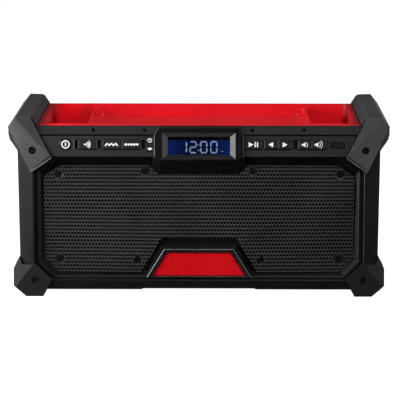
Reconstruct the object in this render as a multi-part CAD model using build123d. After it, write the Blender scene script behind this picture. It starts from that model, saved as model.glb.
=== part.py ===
"""Jobsite radio: a two-shell cabinet with a tool tray on top, a carrying bar at each end,
four corner feet, a formed speaker grille and a row of push keys beside a clock display.

Millimetres.  +X is the right-hand end as seen from the front, the front faces -Y, Z is up.
The origin is on the floor under the middle of the cabinet.  Levels on the upper half are
measured from the deck, levels on the lower half from the cabinet's underside.
"""
from build123d import *
import os

os.makedirs("parts", exist_ok=True)

# ------------------------------------------------------------------ cabinet
cabinet_width = 399.0        # across the shoulders, under the carrying bars
side_draft = 1.5             # each side leans in by this towards the base
cabinet_depth = 194.0        # frame face to back face
base_z = 7.4                 # underside of the cabinet above the floor
cabinet_height = 181.6       # underside to the top deck, under the tray rim
shoulder_drop = 26.5         # deck to the level where the side turns in under the bar
deck_inset = 20.0            # from the shoulder to the edge of the deck
base_chamfer = 12.0          # lower long edges, inside the feet
relief_half = 62.0           # half length of the shallow relief along the base
relief_depth = 1.0
wall = 3.0
front_shell_depth = 92.0     # frame face to the joint between the two shells
edge_break = 0.7             # chamfer on the shells' outer edges
gap = 0.3                    # assembly clearance between neighbouring mouldings

# ------------------------------------------------------------------ front frame and grille opening
post_width = 17.5
post_flat = 1.5              # flat beside the frame, before the post's face falls back
post_slope = 3.2             # by this much at the cabinet's side
beam_height = 11.0
frame_corner = 18.3          # 45 degree corner of the frame, level with the feet
ledge_depth = 4.0            # step down inside the frame
ledge_side = 6.0
ledge_base = 3.2
ledge_corner = 15.5
slope_side = 4.0             # sloping border between the ledge and the grille
slope_base = 4.1
slope_top = 10.1
slope_corner = 15.1
upper_cut_run = 23.3         # cut-off upper corners of the opening, parallel to the bar ends
upper_cut_rise = 16.6
grille_cut_run = 18.6
grille_cut_rise = 12.1
grille_seat = 10.2           # baffle face behind the frame face
baffle = 3.0
screw_boss = 3.2             # radius and length of the grille screws' bosses behind the baffle
screw_boss_length = 6.0

# ------------------------------------------------------------------ control fascia
fascia_over_deck = 1.4
fascia_height = 34.5
fascia_inset = 0.5           # fascia face behind the frame face
fascia_seat = 7.0            # seat of the fascia behind the frame face
fascia_wall = 3.0
fascia_edge = 1.0            # chamfer along the lower edge
strip_height = 9.1           # leaning strip along the top
strip_lean = 3.5
groove_height = 1.6          # groove under the strip
groove_depth = 1.2
window_base = 3.6            # seat left under and over the board window
window_top = 7.9
window_side = 16.0           # seat left at each end of the board window

# ------------------------------------------------------------------ display pod
pod_proud = 2.0              # pod face in front of the frame face
pod_half = 49.5
pod_top_half = 44.0
pod_foot_half = 43.0
pod_top_drop = 0.4           # levels under the fascia's top edge
pod_shoulder_drop = 9.4
pod_knee_rise = 0.1          # level over the fascia's lower edge
pod_foot_drop = 4.1          # levels under the fascia's lower edge
hood_knee_drop = 10.5
hood_drop = 19.1
pod_edge = 1.0
hood_lap = 1.0               # the hood starts inside the pod's lower edge
hood_back = 9.5              # hood's rear edge behind the frame face
hood_half = 52.4
hood_base_half = 43.8
lens_half = 34.3
lens_height = 20.0
lens_rise = 12.6             # middle of the clock window over the fascia's lower edge
bezel_side = 6.0             # sloping border round the clock window
bezel_over = 5.0
bezel_under = 4.0
bezel_depth = 4.0
lens_thick = 1.4
lens_lip = 1.5
lcd_thick = 3.6
lcd_border = 1.0
lcd_plug_side = 4.0          # the module's plug block, inside the glass
lcd_plug_over = 5.0
lcd_plug_under = 2.0

# ------------------------------------------------------------------ keys
key_rise = 14.4              # middle of the row over the fascia's lower edge
key_height = 9.7
key_proud = 1.2
key_travel = 1.0
key_gap = 0.35               # around each key in the fascia
key_flange = 1.2             # retaining lip behind the fascia
key_flange_thick = 1.2
key_corner = 0.8
key_ease = 0.4               # chamfer round a key's face
round_key_ease = 0.5
# pieces of each row from the pod outwards: name, width, space before it
left_row = (("small_keys", 6.2, 1.8), ("preset_button", 20.4, 6.4), ("band_button", 19.4, 2.2),
            ("wireless_button", 19.9, 6.6), ("power_button", 13.8, 8.0))
right_row = (("play_button", 18.7, 1.3), ("previous_button", 14.6, 2.2), ("next_button", 14.6, 1.2),
             ("volume_down_button", 13.6, 8.0), ("volume_up_button", 15.7, 0.6), ("plaque", 15.7, 5.3))
left_row_end = 15.9          # space between the last piece and the bar's end plate
right_row_end = 9.1
small_key_rises = {"clock_button": 4.7, "tone_button": -4.8}     # from the middle of the row
slots_beyond = {"small_keys": 3.3, "band_button": 3.5, "wireless_button": 2.7, "next_button": 4.2}
slot_width = 3.6
slot_height = 11.0
slot_depth = 1.2
plaque_height = 6.7          # shallow bare label field beside the keys
plaque_drop = 1.0
plaque_depth = 1.0
mat_thick = 1.6
mat_border = 1.0
board_thick = 1.6
board_side = 6.0             # key board inside the board window
board_margin = 1.0
board_post = 1.8

# ------------------------------------------------------------------ speaker grille
sheet = 1.2
grille_rim = 1.2             # rim height at the top and bottom edges
grille_bow = 6.0             # the middle stands out by this at the badge
crease_outer = (7.0, 28.3)   # creases: distance in from the side, drop from the top edge
crease_bend = (60.0, 48.6)
crease_inner_half = 46.0
badge_bay_half = (41.3, 64.5)    # half widths of the grille's badge cut-out, top and bottom
badge_bay_rise = 39.2        # cut-out's top edge over the grille's lower edge
hood_clearance = 1.0
corner_screws = ((16.0, 9.8), (17.2, 15.3))   # upper and lower: in from the grille's side and edge
hood_screw = (6.9, 6.3)      # out from the hood, down from the grille's top edge
badge_screw = (3.8, 13.3)    # out from the badge cut-out's foot, up from the grille's lower edge
cup_radius = 4.9
cup_depth = 1.2              # cup floor above the baffle
cup_room = 1.3               # between a screw head and its cup

# ------------------------------------------------------------------ badge
badge_frame_half = (38.7, 58.7)
badge_frame_rise = (27.5, -5.4)  # top and bottom edge over the grille's lower edge
badge_border = (3.3, 6.5)    # width of the frame's upper and lower corners
badge_edges = (4.3, 1.8)     # width of the frame's top and bottom rails
badge_plinth = 5.0           # plinth height over the baffle
badge_plinth_border = 2.4
badge_frame_height = 4.4
badge_frame_edge = 0.8
badge_plate_height = 2.4

# ------------------------------------------------------------------ carrying bars
proud = 3.0                  # bar ends and feet stand this far in front of the frame
bar_rise = 11.2              # bar top over the deck
bar_overhang = 9.9           # outer flank beyond the shoulder
bar_top_width = 15.7
bar_top_slant = 8.4          # run of the outer facet beside the top
bar_shoulder_rise = 1.0      # foot of that facet over the deck
bar_flank_drop = 8.0
bar_under_inset = 1.4
bar_under_rise = 12.5        # underside over the shoulder
bar_lip = 1.9                # inner edge over the deck
bar_inner_rise = 1.6
bead_width = 2.4             # narrow facet and step along the bar's inner top edge
bead_drop = 1.2
bead_step = 0.5
plate_outer_tip = (14.7, 50.5)   # end plate's lower corners: in from the shoulder, under the deck
plate_inner_tip = (37.8, 34.0)
plate_seat = 4.0             # recess of the cabinet under the plates
plate_fall_outer = 1.9       # facets fall back from the ridge by these
plate_fall_inner = 3.6
plate_groove = 3.4           # groove line above the plate's lower lip
plate_groove_width = 0.7
plate_groove_depth = 1.3
bar_seam_inset = 13.0        # parting groove round the rear knuckle, from the cabinet's back
bar_seam = 0.8
grip_length = 112.0
grip_height = 30.0
grip_drop = 16.5             # bottom of the finger space under the shoulder
grip_depth = 17.5            # finger space into the cabinet's side
grip_round = 9.0
cup_wall = 3.0               # moulded cup that lines the finger space
cup_flange = 5.0

# ------------------------------------------------------------------ feet
foot_length = 42.0
foot_points = ((-26.9, 0.0), (-8.0, 0.0), (6.0, 12.0), (6.0, 31.0), (-0.9, 44.0),
               (-3.3, 36.0), (-19.7, 36.0), (-36.7, 18.6), (-30.9, 7.4))   # from under the shoulder
foot_crease = ((1.5, 13.5), (-13.1, 32.5))
foot_fall = 3.0              # the outer facet falls back by this at the widest point
foot_tail = 12.0             # tapered rear end
foot_clear = 0.3             # cutters reach past the foot by this

# ------------------------------------------------------------------ tray
tray_back_margin = 17.0      # rear rim to the cabinet's back
tray_rim = 2.5
tray_rim_width = 3.0
tray_rim_edge = 0.7
tray_wall = 2.5
tray_depth = 11.0            # middle pan under the deck
tray_corner = 6.0
tray_floor_round = 2.0
tray_draft = 2.0             # degrees
bin_depth = 42.0
bin_length = 46.1
divider_thick = 2.8
divider_drop = 3.5           # divider's top under the deck
divider_boss = 6.0
divider_gusset = 14.0
tray_step = 1.0              # shallow steps across the tray's rear wall
rear_slope_drop = 13.0       # back edge of the slope behind the tray, under the deck
rear_slope_side = 4.6        # slope's end, in from the bar

# ------------------------------------------------------------------ battery bay, on the back
bay_width = 88.0
bay_middle_x = -28.0
bay_rise = 16.6              # over the cabinet's underside
bay_height = 134.0
bay_depth = 46.0
bay_corner = 5.0
bay_flange = 5.0
rail_length = 62.0
rail_gap = 58.0              # between the two rails
rail_lip = 4.0
rail_height = 9.0
rail_thick = 3.0
dock_thick = 4.0
dock_side = 2.0              # base plate beside the rails
dock_tail = 4.0              # base plate under the rails
terminal_width = 34.0
terminal_height = 16.0
terminal_depth = 12.0
blade_count = 4
blade_pitch = 7.6
blade_thick = 0.8
blade_depth = 9.0
blade_length = 9.0
blade_drop = 6.0             # blades under the top of the terminal housing
blade_set = 1.0              # blade tips inside the housing's face

# ------------------------------------------------------------------ socket compartment, on the back
door_left = 64.0
door_width = 70.0
door_rise = 54.6             # over the cabinet's underside
door_height = 46.0
door_thick = 2.8
door_corner = 2.5
door_gap = 0.4
hinge_barrel = 2.0
hinge_pin = 0.9
pin_clearance = 0.05
pin_bite = 4.0
liner_depth = 26.0
liner_wall = 2.0
liner_flange = 5.0
liner_lip = 3.0              # cup inside the doorway
liner_hinge_lip = 4.0
thumb_notch = 7.0
thumb_notch_out = 3.0
thumb_notch_depth = 1.2
jack_in = 20.0               # jack from the door's hinge edge
usb_pitch = 28.0             # from the jack
jack_radius = 4.0
jack_rim = 1.5
jack_bore = 1.8
jack_length = 14.0
socket_floor = 3.0           # material left behind each socket's mouth
usb_size = (15.0, 7.0)
usb_mouth = (12.6, 4.9)
usb_rim = 1.0
usb_length = 14.0
usb_tongue = 0.4
inlet_from_side = 47.5
inlet_rise = 36.6
inlet_radius = 6.0
inlet_rim = 2.0
inlet_rim_thick = 1.0
inlet_bore = 3.2
inlet_pin = 1.05
inlet_pin_set = 1.0          # pin tip inside the inlet's face
inlet_length = 15.0

# ------------------------------------------------------------------ speakers
speaker_from_side = 60.0     # from the grille's side edge
speaker_rise = 64.4          # over the opening's lower edge
speaker_radius = 48.0
speaker_opening = 42.0
speaker_ring = 2.0           # locating ring behind the baffle
gasket_thick = 1.0
basket_flange = 2.0
basket_inner = 41.2
basket_depth = 25.0
basket_neck = 20.0
basket_wall = 1.6
cone_radius = 38.0
cone_neck = 11.0
cone_depth = 17.0
cone_wall = 1.0
roll_radius = 2.1
roll_thick = 0.8
dome_height = 4.0
magnet_radius = 29.0
magnet_thick = 17.0

# ------------------------------------------------------------------ electronics and screws
main_board_side = 2.0        # board edge inside the battery bay
main_board_width = 154.0
main_board_rise = 12.0       # over the bay's lower edge
main_board_height = 104.0
main_board_stand = 14.0
post_inset = 6.0
ferrite_radius = 5.0
ferrite_length = 100.0
ferrite_side = 4.0           # rod end and side to the board's edges
ferrite_drop = 6.0
ferrite_stand = 1.0
ferrite_clip = 4.0
fin_count = 7
fin_pitch = 5.0
fin_thick = 1.6
fin_height = 14.0
sink_base = 3.0
sink_height = 50.0
sink_side = 6.0
shell_screw_places = ((21.5, 114.6), (21.5, 30.6), (104.5, 10.1))   # from the side and the underside
shell_boss = 5.0
shell_screw_radius = 1.8
shell_head_radius = 3.6
shell_head_depth = 5.0
handle_screw_place = (16.5, 25.0)    # in from the shoulder, under the deck
handle_head_radius = 3.5
handle_recess = 4.3
handle_head_depth = 2.6
foot_screw_place = (18.2, 18.9)      # in from the shoulder, over the floor
foot_head_radius = 3.3
foot_recess = 4.0
strip_screw_xs = (-115.5, -59.6, 58.8, 115.4)
strip_screw_drop = 4.8
strip_head_radius = 1.9
shank = 1.6                  # shank radius of the case screws
strip_shank = 1.1
thread_gap = 0.05
head_thick = 2.0
low_head_thick = 1.4
screw_bite = 9.0

# ------------------------------------------------------------------ derived planes and lines
SIDES = (-1, 1)
half_width = cabinet_width / 2
deck_z = base_z + cabinet_height
shoulder_z = deck_z - shoulder_drop
front_y = -cabinet_depth / 2
back_y = cabinet_depth / 2
split_y = front_y + front_shell_depth
ledge_y = front_y + ledge_depth
seat_y = front_y + grille_seat
baffle_back_y = seat_y + baffle
fascia_y = front_y + fascia_inset
fascia_seat_y = front_y + fascia_seat
fascia_back_y = fascia_y + fascia_wall
pod_y = front_y - pod_proud
lens_y = pod_y + bezel_depth
plate_y = front_y - proud
plate_seat_y = front_y + plate_seat
rear_wall_y = back_y - wall                  # inner face of the back wall

fascia_top_z = deck_z + fascia_over_deck
fascia_base_z = fascia_top_z - fascia_height
strip_z = fascia_top_z - strip_height
window_z = (fascia_base_z + window_base, fascia_top_z - window_top)
key_z = fascia_base_z + key_rise
pod_top_z = fascia_top_z - pod_top_drop
pod_shoulder_z = fascia_top_z - pod_shoulder_drop
pod_knee_z = fascia_base_z + pod_knee_rise
pod_foot_z = fascia_base_z - pod_foot_drop
hood_knee_z = fascia_base_z - hood_knee_drop
hood_z = fascia_base_z - hood_drop
lens_z = (fascia_base_z + lens_rise - lens_height / 2, fascia_base_z + lens_rise + lens_height / 2)
bezel_z = (lens_z[0] - bezel_under, lens_z[1] + bezel_over)
bezel_half = lens_half + bezel_side

frame_base_z = base_z + beam_height
post_inner_x = half_width - post_width
opening_x = post_inner_x - ledge_side
opening_z = frame_base_z + ledge_base
grille_x = opening_x - slope_side
grille_base_z = opening_z + slope_base
grille_top_z = fascia_base_z - slope_top
badge_bay_top_z = grille_base_z + badge_bay_rise
window_half = post_inner_x - window_side
board_half = window_half - board_side

key_back_y = fascia_back_y + gap + key_flange_thick
mat_y = key_back_y + key_travel + gap
board_y = mat_y + mat_thick

badge_frame_z = tuple(grille_base_z + rise for rise in badge_frame_rise)
badge_plate_half = tuple(half - border for half, border in zip(badge_frame_half, badge_border))
badge_plate_z = (badge_frame_z[0] - badge_edges[0], badge_frame_z[1] + badge_edges[1])

bar_outer_x = half_width + bar_overhang
bar_top_x = (bar_outer_x - bar_top_slant - bar_top_width, bar_outer_x - bar_top_slant)
bar_top_z = deck_z + bar_rise
bar_shoulder_z = deck_z + bar_shoulder_rise
bar_inner_x = half_width - deck_inset - bar_lip
plate_outer_x, plate_outer_z = half_width - plate_outer_tip[0], deck_z - plate_outer_tip[1]
plate_inner_x, plate_inner_z = half_width - plate_inner_tip[0], deck_z - plate_inner_tip[1]
bar_seam_y = back_y - bar_seam_inset
grip_z = (shoulder_z - grip_drop, shoulder_z - grip_drop + grip_height)
grip_floor_x = half_width - grip_depth
handle_screw = (half_width - handle_screw_place[0], deck_z - handle_screw_place[1])
foot_screw = (half_width - foot_screw_place[0], foot_screw_place[1])
strip_screw_z = fascia_top_z - strip_screw_drop

tray_half = bar_inner_x - 2 * gap
tray_front_y = fascia_seat_y + gap
tray_rear_y = back_y - tray_back_margin
tray_floor_z = deck_z - tray_depth
bin_floor_z = deck_z - bin_depth
divider_top_z = deck_z - divider_drop
divider_x = tray_half - tray_rim_width - tray_wall - bin_length - divider_thick / 2
rear_slope_z = deck_z - rear_slope_drop
rear_slope_half = bar_inner_x - rear_slope_side

bay_x = (bay_middle_x - bay_width / 2, bay_middle_x + bay_width / 2)
bay_z = (base_z + bay_rise, base_z + bay_rise + bay_height)
bay_floor_y = back_y - bay_depth
dock_top_z = bay_z[1] - gap
door_x = (door_left, door_left + door_width)
door_z = (base_z + door_rise, base_z + door_rise + door_height)
hinge_axis = (door_left, back_y - hinge_barrel)
socket_z = sum(door_z) / 2
jack_x = door_left + jack_in
usb_x = jack_x + usb_pitch
liner_face_y = rear_wall_y - gap / 3
liner_floor_y = liner_face_y - liner_depth
socket_y = liner_floor_y + liner_wall
inlet_x, inlet_z = half_width - inlet_from_side, base_z + inlet_rise

speaker_x = grille_x - speaker_from_side
speaker_z = opening_z + speaker_rise
speaker_front_y = baffle_back_y + gasket_thick
main_board_x = (bay_x[0] + main_board_side, bay_x[0] + main_board_side + main_board_width)
main_board_z = (bay_z[0] + main_board_rise, bay_z[0] + main_board_rise + main_board_height)
main_board_y = bay_floor_y - wall - main_board_stand
shell_screws = [(side * (half_width - inset), base_z + rise)
                for side in SIDES for inset, rise in shell_screw_places]
upper_screws = ((grille_x - corner_screws[0][0], corner_screws[0][1]), (hood_half + hood_screw[0], hood_screw[1]))
lower_screws = ((grille_x - corner_screws[1][0], corner_screws[1][1]),
                (badge_bay_half[1] + badge_screw[0], badge_screw[1]))
grille_screws = [(side * x, grille_top_z - drop) for side in SIDES for x, drop in upper_screws]
grille_screws += [(side * x, grille_base_z + rise) for side in SIDES for x, rise in lower_screws]


# ------------------------------------------------------------------ shared shapes
def block(x, y, z):
    """Box from three (low, high) spans."""
    sizes = [high - low for low, high in (x, y, z)]
    middle = [(low + high) / 2 for low, high in (x, y, z)]
    return Pos(*middle) * Box(*sizes)


def face_at_y(points, y):
    """Flat face through (x, z) points, standing at depth y."""
    return Plane.XZ.offset(-y) * make_face(Polyline(*points, close=True))


def prism_y(points, y_from, y_to):
    """(x, z) outline extruded from front to back."""
    return extrude(face_at_y(points, y_from), amount=y_from - y_to)


def prism_x(points, x_from, x_to):
    """(y, z) outline extruded across the radio."""
    face = Plane.YZ.offset(x_from) * make_face(Polyline(*points, close=True))
    return extrude(face, amount=x_to - x_from)


def rod_y(x, z, radius, y_from, y_to):
    """Round rod lying front to back."""
    return Pos(x, (y_from + y_to) / 2, z) * Rot(90, 0, 0) * Cylinder(radius, y_to - y_from)


def rod_z(x, y, radius, z_from, z_to):
    """Round rod standing upright."""
    return Pos(x, y, (z_from + z_to) / 2) * Cylinder(radius, z_to - z_from)


def mirrored(points):
    """Close a right-hand half outline with its left-hand image."""
    return list(points) + [(-x, z) for x, z in reversed(points)]


def across(shape):
    """Shape and its image on the other end of the radio."""
    return shape + mirror(shape, about=Plane.YZ)


def fore_and_aft(shape):
    """Shape and its image on the back."""
    return shape + mirror(shape, about=Plane.XZ)


def grown(spans, margin):
    """Spans widened by a margin on both sides."""
    return [(low - margin, high + margin) for low, high in spans]


def plane_through(first, second, third):
    """Plane through three points whose normal leans to the front."""
    a, b, c = Vector(*first), Vector(*second), Vector(*third)
    normal = (b - a).cross(c - a)
    if normal.Y > 0:
        normal = normal * -1
    return Plane(origin=a, z_dir=normal)


def shave(shape, first, second, third):
    """Cut away what stands in front of a plane."""
    return split(shape, bisect_by=plane_through(first, second, third), keep=Keep.BOTTOM)


def eased_mouth(points, y, size):
    """Cutter that chamfers the edge where an outline's hole meets the face at depth y."""
    wide = offset(face_at_y(points, y - gap), size + gap, kind=Kind.INTERSECTION)
    return loft([wide, face_at_y(points, y + size)])


def save(name, shape):
    solids = shape.solids()
    export_step(Compound(children=list(solids)) if len(solids) > 1 else solids[0], f"parts/{name}.step")


# ------------------------------------------------------------------ outlines
def cabinet_outline():
    foot_x = half_width - side_draft
    return mirrored([
        (relief_half, base_z + relief_depth),
        (relief_half + relief_depth, base_z),
        (foot_x - base_chamfer, base_z),
        (foot_x, base_z + base_chamfer),
        (half_width, shoulder_z),
        (half_width - deck_inset, deck_z),
    ])


def opening_outline(side_x, low_z, top_z, corner, cut_run, cut_rise):
    """Outline of the speaker opening: square lower corners cut at 45 degrees."""
    return mirrored([
        (side_x - corner, low_z),
        (side_x, low_z + corner),
        (side_x, top_z - cut_rise),
        (side_x - cut_run, top_z),
    ])


def ledge_outline():
    return opening_outline(opening_x, opening_z, fascia_base_z, ledge_corner,
                           upper_cut_run, upper_cut_rise)


def grille_opening_outline():
    return opening_outline(grille_x, grille_base_z, grille_top_z, slope_corner,
                           grille_cut_run, grille_cut_rise)


def plate_outline():
    """End plate of the right-hand carrying bar."""
    return [(bar_top_x[1], bar_top_z), (bar_outer_x, bar_shoulder_z), (plate_outer_x, plate_outer_z),
            (plate_inner_x, plate_inner_z), (bar_top_x[0], bar_top_z)]


def plate_edge_x(z):
    """Inner edge of the right-hand end plate at a level."""
    run, rise = bar_top_x[0] - plate_inner_x, bar_top_z - plate_inner_z
    return plate_inner_x + run * (z - plate_inner_z) / rise


def trapezoid(halves, heights, grow=0.0):
    """Badge shape: halves and heights are given (top, bottom)."""
    return [(-halves[0] - grow, heights[0] + grow), (halves[0] + grow, heights[0] + grow),
            (halves[1] + grow, heights[1] - grow), (-halves[1] - grow, heights[1] - grow)]


def rectangle(half, heights, grow=0.0):
    return [(-half - grow, heights[0] - grow), (half + grow, heights[0] - grow),
            (half + grow, heights[1] + grow), (-half - grow, heights[1] + grow)]


def grip_pocket(grow=0.0):
    """Finger space under the middle of the right-hand carrying bar."""
    mouth = RectangleRounded(grip_length + 2 * grow, grip_height + 2 * grow, grip_round + grow)
    middle = Plane.YZ.offset(grip_floor_x - grow) * Pos(0, sum(grip_z) / 2) * mouth
    return extrude(middle, amount=bar_outer_x + wall - grip_floor_x + grow)


def laid_out(row, side, end_space):
    """Place a row of keys outwards from the pod; the spaces share the width that is left over."""
    room = plate_edge_x(key_z) - 2 * gap - pod_half - sum(width for name, width, space in row)
    stretch = room / (sum(space for name, width, space in row) + end_space)
    places, x = {}, pod_half
    for name, width, space in row:
        x += space * stretch
        places[name] = tuple(sorted((side * x, side * (x + width))))
        x += width
    return places


places = laid_out(left_row, -1, left_row_end) | laid_out(right_row, 1, right_row_end)
power_x = sum(places["power_button"]) / 2
power_radius = (places["power_button"][1] - places["power_button"][0]) / 2
small_key_x = sum(places["small_keys"]) / 2
small_key_radius = (places["small_keys"][1] - places["small_keys"][0]) / 2
rectangular_keys = [name for name, width, space in left_row[1:-1] + right_row[:-1]]


def slot_xs():
    """Upright slots in the fascia, each beyond the outer end of a key."""
    ends = {name: max(places[name], key=abs) for name in slots_beyond}
    return [end + (beyond if end > 0 else -beyond)
            for end, beyond in zip(ends.values(), slots_beyond.values())]


# ------------------------------------------------------------------ cabinet shells
def cabinet_solid(y_from, y_to):
    return prism_y(cabinet_outline(), y_from, y_to)


def cabinet_core(y_from, y_to, inset):
    """Cabinet outline drawn in by a wall, from front to back."""
    inner = offset(face_at_y(cabinet_outline(), y_from), -inset, kind=Kind.INTERSECTION)
    return extrude(inner, amount=y_from - y_to)


def shell(y_from, y_to, hollow_from, hollow_to, outer_face):
    """Walls of the cabinet between two depths, with windows for the finger-space cups."""
    solid = cabinet_solid(y_from, y_to)
    solid = chamfer(solid.faces().sort_by(Axis.Y)[outer_face].edges(), edge_break)
    return solid - cabinet_core(hollow_from, hollow_to, wall) - across(grip_pocket(cup_wall + gap / 2))


def post_wedge():
    """What the sloping faces of the posts leave away in front."""
    outline = [(post_inner_x + post_flat, front_y), (half_width + gap, front_y + post_slope),
               (half_width + gap, front_y - gap), (post_inner_x + post_flat, front_y - gap)]
    wedge = extrude(Plane.XY * make_face(Polyline(*outline, close=True)), amount=cabinet_height + gap)
    return across(Pos(0, 0, base_z - gap / 2) * wedge)


def plate_recesses():
    seat = prism_y(plate_outline(), plate_y - proud, plate_seat_y)
    return fore_and_aft(across(seat))


def tray_well():
    """Hole in the deck that the tray hangs in."""
    outer = tray_half - tray_rim_width + gap
    return block((-outer, outer), (baffle_back_y, tray_rear_y - tray_rim_width + gap),
                 (deck_z - 2 * wall, deck_z + wall))


def make_front_cabinet():
    body = shell(front_y, split_y, baffle_back_y, split_y, 0)
    frame = mirrored([(post_inner_x - frame_corner, frame_base_z),
                      (post_inner_x, frame_base_z + frame_corner),
                      (post_inner_x, deck_z + wall)])
    body -= prism_y(frame, front_y - proud, ledge_y)
    body -= eased_mouth(frame, front_y, edge_break)
    body -= loft([face_at_y(ledge_outline(), ledge_y), face_at_y(grille_opening_outline(), seat_y)])
    body -= eased_mouth(ledge_outline(), ledge_y, edge_break)
    # seat and board window behind the control fascia
    body -= block((-post_inner_x, post_inner_x), (ledge_y - gap, fascia_seat_y),
                  (fascia_base_z, deck_z + wall))
    body -= block((-window_half, window_half), (fascia_seat_y - gap, baffle_back_y + gap), window_z)
    # notch for the hood under the display pod
    body -= block((-hood_half - 2 * gap, hood_half + 2 * gap), (ledge_y - gap, front_y + hood_back + gap),
                  (grille_top_z - gap, fascia_base_z + gap))
    plinth_y = seat_y - badge_plinth
    plinth = prism_y(trapezoid(badge_frame_half, badge_frame_z, badge_plinth_border), plinth_y, seat_y)
    body += plinth & block((-half_width, half_width), (plinth_y, seat_y), (opening_z, deck_z))
    body -= prism_y(trapezoid(badge_frame_half, badge_frame_z, gap), front_y, plinth_y)
    for side in SIDES:
        body += rod_y(side * speaker_x, speaker_z, speaker_radius + gap + speaker_ring,
                      baffle_back_y, speaker_front_y + basket_flange)
        body -= rod_y(side * speaker_x, speaker_z, speaker_radius + gap,
                      baffle_back_y, speaker_front_y + wall)
        body -= rod_y(side * speaker_x, speaker_z, speaker_opening, seat_y - gap, baffle_back_y + gap)
    for x, z in shell_screws:
        body += rod_y(x, z, shell_boss, baffle_back_y, split_y)
        body -= rod_y(x, z, shell_screw_radius + thread_gap, split_y - 2 * screw_bite, split_y)
    hole = shank + thread_gap
    for x, z in grille_screws:
        body += rod_y(x, z, screw_boss, baffle_back_y, baffle_back_y + screw_boss_length)
        body -= rod_y(x, z, hole, seat_y - gap, baffle_back_y + screw_boss_length)
    body -= post_wedge()
    body -= plate_recesses()
    body -= tray_well()
    for side in SIDES:
        body -= rod_y(side * handle_screw[0], handle_screw[1], hole, front_y, front_y + 2 * screw_bite)
        body -= rod_y(side * foot_screw[0], foot_screw[1], hole, front_y - gap, front_y + screw_bite)
    for x in strip_screw_xs:
        body -= rod_y(x, strip_screw_z, strip_shank + thread_gap, fascia_seat_y - gap, baffle_back_y + gap)
    return body


def make_rear_cabinet():
    body = shell(split_y, back_y, split_y, rear_wall_y, -1)
    slope = [(tray_rear_y + 2 * gap, deck_z), (back_y, rear_slope_z), (back_y + wall, deck_z + wall),
             (tray_rear_y, deck_z + wall)]
    backing = [(y - wall, z - wall) for y, z in slope[:2]]
    backing += [(back_y - gap, rear_slope_z - wall), (back_y - gap, deck_z - gap),
                (tray_rear_y + 2 * gap - wall, deck_z - gap)]
    body += prism_x(backing, -rear_slope_half - wall, rear_slope_half + wall)
    body -= prism_x(slope, -rear_slope_half, rear_slope_half)
    body -= bay_pocket(rear_wall_y - gap)
    # doorway of the socket compartment, with the two seats of its hinge pin
    span_x, span_z = grown(((door_x[0] - hinge_barrel, door_x[1]), door_z), door_gap)
    body -= block(span_x, (back_y - 2 * wall, back_y + wall), span_z)
    body -= rod_z(*hinge_axis, hinge_pin + pin_clearance, door_z[0] - pin_bite, door_z[1] + pin_bite)
    body -= rod_y(inlet_x, inlet_z, inlet_radius + gap / 2, back_y - 2 * wall, back_y + wall)
    body -= plate_recesses()
    body -= tray_well()
    for x, z in shell_screws:
        body += rod_y(x, z, shell_boss, split_y, back_y - gap)
        body -= rod_y(x, z, shell_screw_radius + thread_gap, split_y, back_y + wall)
        body -= rod_y(x, z, shell_head_radius + gap, back_y - shell_head_depth, back_y + wall)
    hole = shank + thread_gap
    for side in SIDES:
        body -= rod_y(side * handle_screw[0], handle_screw[1], hole, back_y - 2 * screw_bite, back_y)
        body -= rod_y(side * foot_screw[0], foot_screw[1], hole, back_y - screw_bite, back_y + gap)
    return body


def make_right_grip_cup():
    """Moulded cup that lines the finger space, with a flange behind the cabinet's side."""
    half = grip_length / 2 + cup_wall + cup_flange
    cup = grip_pocket(cup_wall) & cabinet_solid(-half, half)
    skin = cabinet_core(-half, half, wall + gap / 3) - cabinet_core(-half, half, wall + gap / 3 + liner_wall)
    flange = grip_pocket(cup_wall + cup_flange) & skin
    return cup + flange - grip_pocket()


# ------------------------------------------------------------------ tray
def hollow(x_span, y_span, z_from, z_to):
    """Moulded hollow: rounded corners and floor edge, narrower at the floor."""
    width, depth = x_span[1] - x_span[0], y_span[1] - y_span[0]
    mouth = Pos(sum(x_span) / 2, sum(y_span) / 2, z_to) * RectangleRounded(width, depth, tray_corner)
    body = extrude(mouth, amount=z_from - z_to, taper=tray_draft)
    return fillet(body.faces().sort_by(Axis.Z)[0].edges(), tray_floor_round)


def make_tray():
    inner_x = tray_half - tray_rim_width - tray_wall
    outer_x = inner_x + tray_wall
    y_out = (baffle_back_y + gap, tray_rear_y - tray_rim_width)
    y_in = (y_out[0] + tray_wall, y_out[1] - tray_wall)
    rim_top = deck_z + tray_rim
    rib = (divider_x - divider_thick / 2, divider_x + divider_thick / 2)
    body = block((-tray_half, tray_half), (tray_front_y, tray_rear_y), (deck_z, rim_top))
    body = chamfer(body.faces().sort_by(Axis.Z)[-1].edges(), tray_rim_edge)
    body += block((-outer_x, outer_x), y_out, (tray_floor_z - tray_wall, deck_z))
    body += across(block((rib[0], outer_x), y_out, (bin_floor_z - tray_wall, tray_floor_z)))
    mouth = Pos(0, sum(y_in) / 2, divider_top_z) * RectangleRounded(2 * inner_x, y_in[1] - y_in[0], tray_corner)
    body -= extrude(mouth, amount=rim_top + wall - divider_top_z)
    body -= hollow((-rib[0], rib[0]), y_in, tray_floor_z, divider_top_z)
    body -= across(hollow((rib[1], inner_x), y_in, bin_floor_z, divider_top_z))
    # each divider rises to the rim at the front, and ends in a square boss at the rear
    gusset = [(y_in[0] - gap, divider_top_z - gap), (y_in[0] + divider_gusset, divider_top_z - gap),
              (y_in[0], deck_z), (y_in[0] - gap, deck_z)]
    body += across(prism_x(gusset, *rib))
    body += across(block((rib[0] - divider_boss, rib[1]), (y_in[1] - divider_boss, y_in[1] + gap),
                         (tray_floor_z, divider_top_z + 2 * tray_step)))
    # two shallow steps across the rear wall
    half = rib[0] - 2 * divider_boss
    for level in (1, 2):
        step_z = tray_floor_z + level * (deck_z - tray_floor_z) / 3
        body += block((-half, half), (y_in[1] - (3 - level) * tray_step, y_in[1] + gap), (tray_floor_z, step_z))
    return body


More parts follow.
